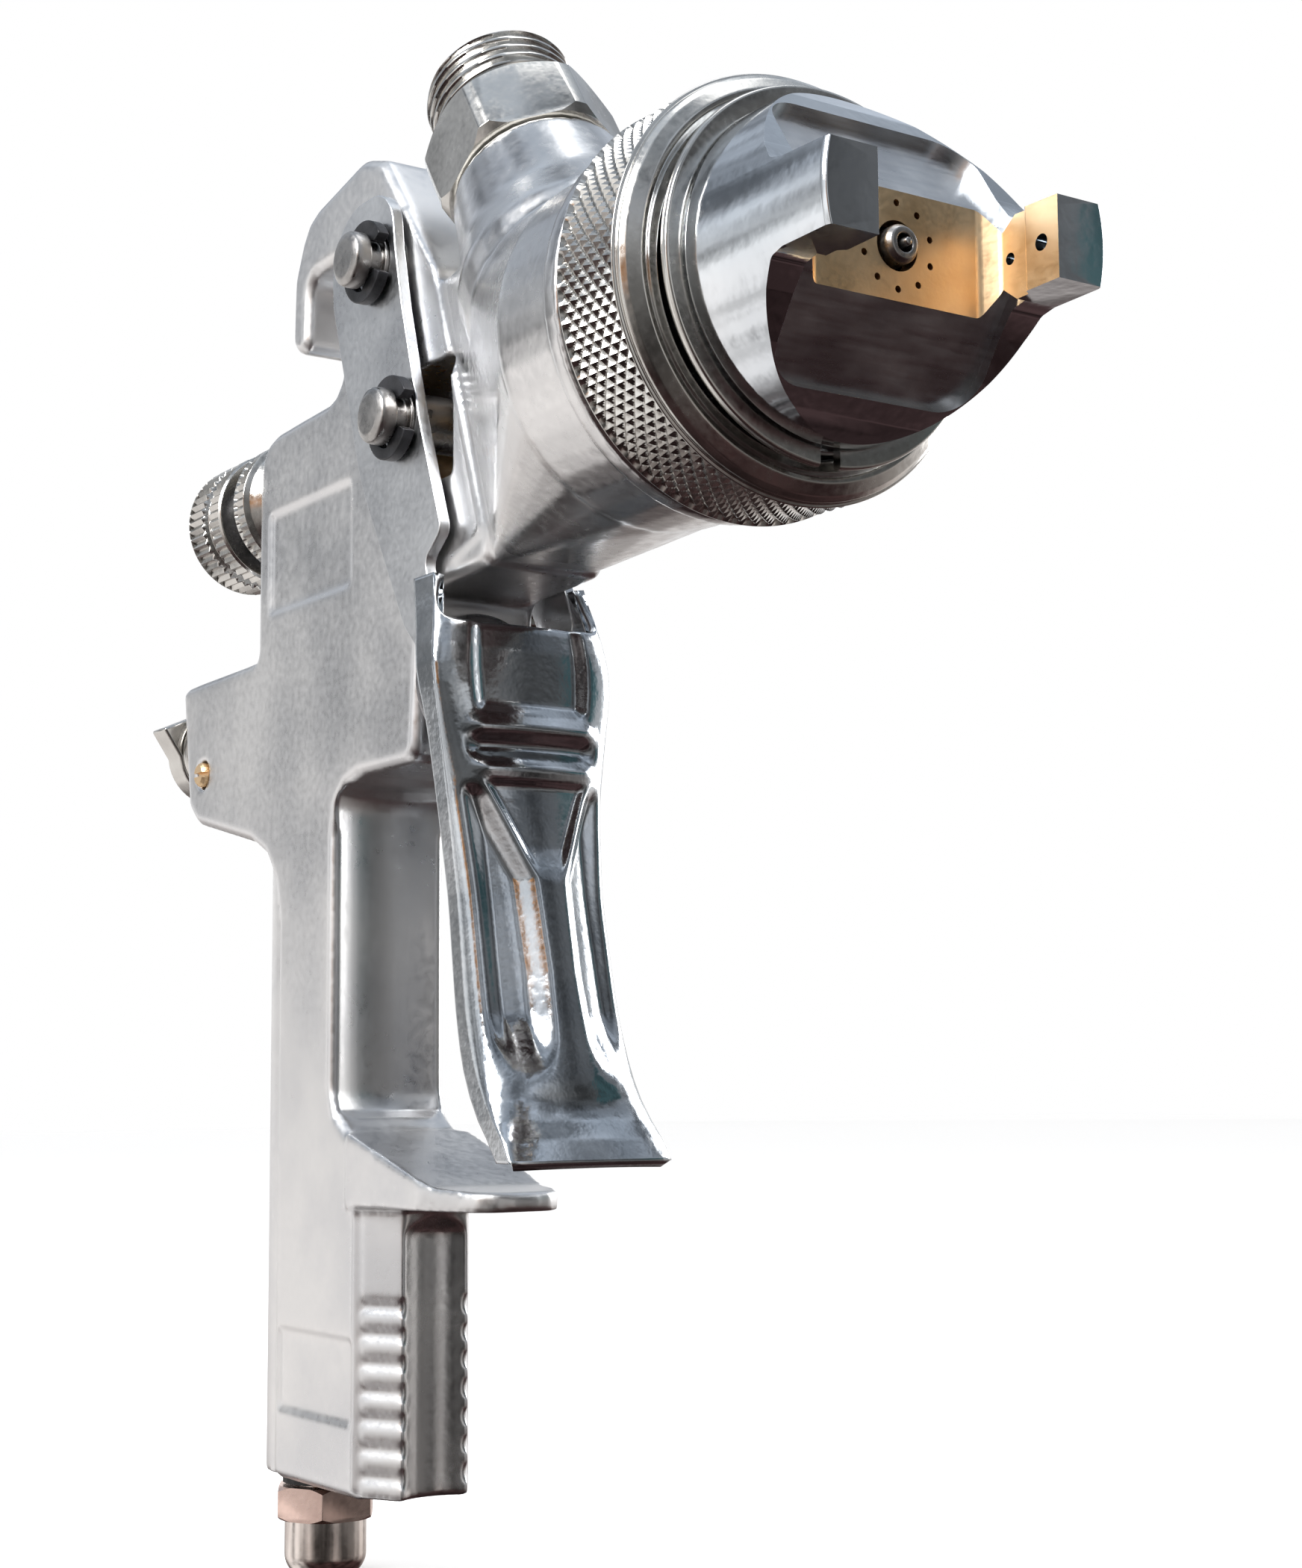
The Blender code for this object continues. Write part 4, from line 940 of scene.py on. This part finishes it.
def make_room():
    """A dome that only reflections see, bright at the sides and dim below.

    It is a little uneven, with two dark patches in front and three cards: a white one behind the grip
    and a blue-green and an orange one in front.
    """
    material = bpy.data.materials.new("room_look")
    material.use_nodes = True
    tree = material.node_tree
    tree.nodes.clear()
    coordinates = add_node(tree, "ShaderNodeTexCoord").outputs["Object"]
    normal = tree.nodes.new("ShaderNodeVectorMath")
    normal.operation = "NORMALIZE"
    tree.links.new(coordinates, normal.inputs[0])
    looking = normal.outputs["Vector"]
    split = tree.nodes.new("ShaderNodeSeparateXYZ")
    tree.links.new(looking, split.inputs["Vector"])
    stops = [(0.0, (0.03, 0.02, 0.02)), (0.24, (0.07, 0.04, 0.04)), (0.36, (0.50, 0.46, 0.44)),
             (0.45, (0.86, 0.84, 0.83)), (0.58, (0.84, 0.85, 0.86)), (0.76, (0.44, 0.48, 0.54)),
             (1.0, (0.42, 0.48, 0.56))]
    height = math_node(tree, "MULTIPLY_ADD", split.outputs["Z"], 0.5, 0.5)
    colour = colour_ramp(tree, height, stops)
    strength = remap(tree, noise(tree, looking, 3.6, 3.0), 0.30, 1.40, 0.36, 0.62)
    for direction, darkest, low, high in (((0.80, -0.58, -0.12), 0.16, 0.80, 0.94),
                                          ((0.80, 0.60, 0.05), 0.22, 0.72, 0.92)):
        shadow = toward(tree, looking, direction, 1.0, darkest, low, high)
        strength = math_node(tree, "MULTIPLY", strength, shadow)
    emission = tree.nodes.new("ShaderNodeEmission")
    cover = 0.9
    for direction, tint, low, high in (((-0.62, -0.60, -0.50), (0.85, 0.83, 0.82), 0.78, 0.92),
                                       ((0.55, 0.80, 0.22), (0.20, 0.44, 0.48), 0.980, 0.99),
                                       ((0.45, -0.86, 0.22), (1.0, 0.45, 0.14), 0.975, 0.99)):
        card = tree.nodes.new("ShaderNodeMix")
        card.data_type = "RGBA"
        tree.links.new(toward(tree, looking, direction, 0.0, cover, low, high), card.inputs["Factor"])
        tree.links.new(colour, card.inputs["A"])
        card.inputs["B"].default_value = (*tint, 1.0)
        colour = card.outputs["Result"]
    tree.links.new(colour, emission.inputs["Color"])
    tree.links.new(strength, emission.inputs["Strength"])
    output = tree.nodes.new("ShaderNodeOutputMaterial")
    tree.links.new(emission.outputs["Emission"], output.inputs["Surface"])
    mesh = bpy.data.meshes.new("room")
    shape = bmesh.new()
    bmesh.ops.create_icosphere(shape, subdivisions=4, radius=3.0)
    shape.to_mesh(mesh)
    shape.free()
    mesh.materials.append(material)
    room = new_object("room", mesh)
    room.visible_camera = False
    room.visible_shadow = False
    room.visible_diffuse = False


def make_floor():
    """The pale floor under the gun."""
    material = bpy.data.materials.new("floor_look")
    material.use_nodes = True
    shader = material.node_tree.nodes["Principled BSDF"]
    shader.inputs["Base Color"].default_value = (0.93, 0.93, 0.93, 1.0)
    shader.inputs["Roughness"].default_value = 0.9
    shader.inputs["Emission Color"].default_value = (1.0, 1.0, 1.0, 1.0)
    shader.inputs["Emission Strength"].default_value = 0.06
    mesh = bpy.data.meshes.new("floor")
    shape = bmesh.new()
    bmesh.ops.create_grid(shape, x_segments=1, y_segments=1, size=2.5)
    shape.to_mesh(mesh)
    shape.free()
    mesh.materials.append(material)
    floor = new_object("floor", mesh)
    floor.location.z = cad_box[0].z - 0.0002
    floor.visible_glossy = False


def make_light(name, at, aim, size, watts):
    """A soft, white, square light."""
    data = bpy.data.lights.new(name, "AREA")
    data.energy = watts
    data.size = size
    lamp = bpy.data.objects.new(name, data)
    lamp.location = at
    lamp.rotation_euler = (Vector(aim) - Vector(at)).to_track_quat("-Z", "Y").to_euler()
    bpy.context.scene.collection.objects.link(lamp)


def make_studio():
    """White surroundings, the reflected room, the floor and three soft lights."""
    world = bpy.data.worlds.new("studio")
    world.use_nodes = True
    world.node_tree.nodes["Background"].inputs["Color"].default_value = (1, 1, 1, 1)
    bpy.context.scene.world = world
    bpy.context.scene.view_settings.view_transform = "Standard"
    make_room()
    make_floor()
    middle = (0.02, 0.0, -0.05)
    make_light("key", (0.15, -0.50, 0.35), middle, 0.30, 4.5)
    make_light("top", (0.10, 0.10, 0.60), middle, 0.30, 0.5)
    make_light("left", (-0.05, 0.60, 0.10), middle, 0.35, 2.0)


looks = make_looks()
make_camera()
make_studio()
build_casting()
build_ring()
build_cap()
build_nozzle()
build_nipple()
build_rear_controls()
build_fan_control()
build_trigger()
build_pins()
build_valve_nut_and_inlet()
for entry in frame["record"]["subparts"]:
    node = nodes[entry["node"]]
    node.data.materials.clear()
    node.data.materials.append(looks[entry["material_slot"]])
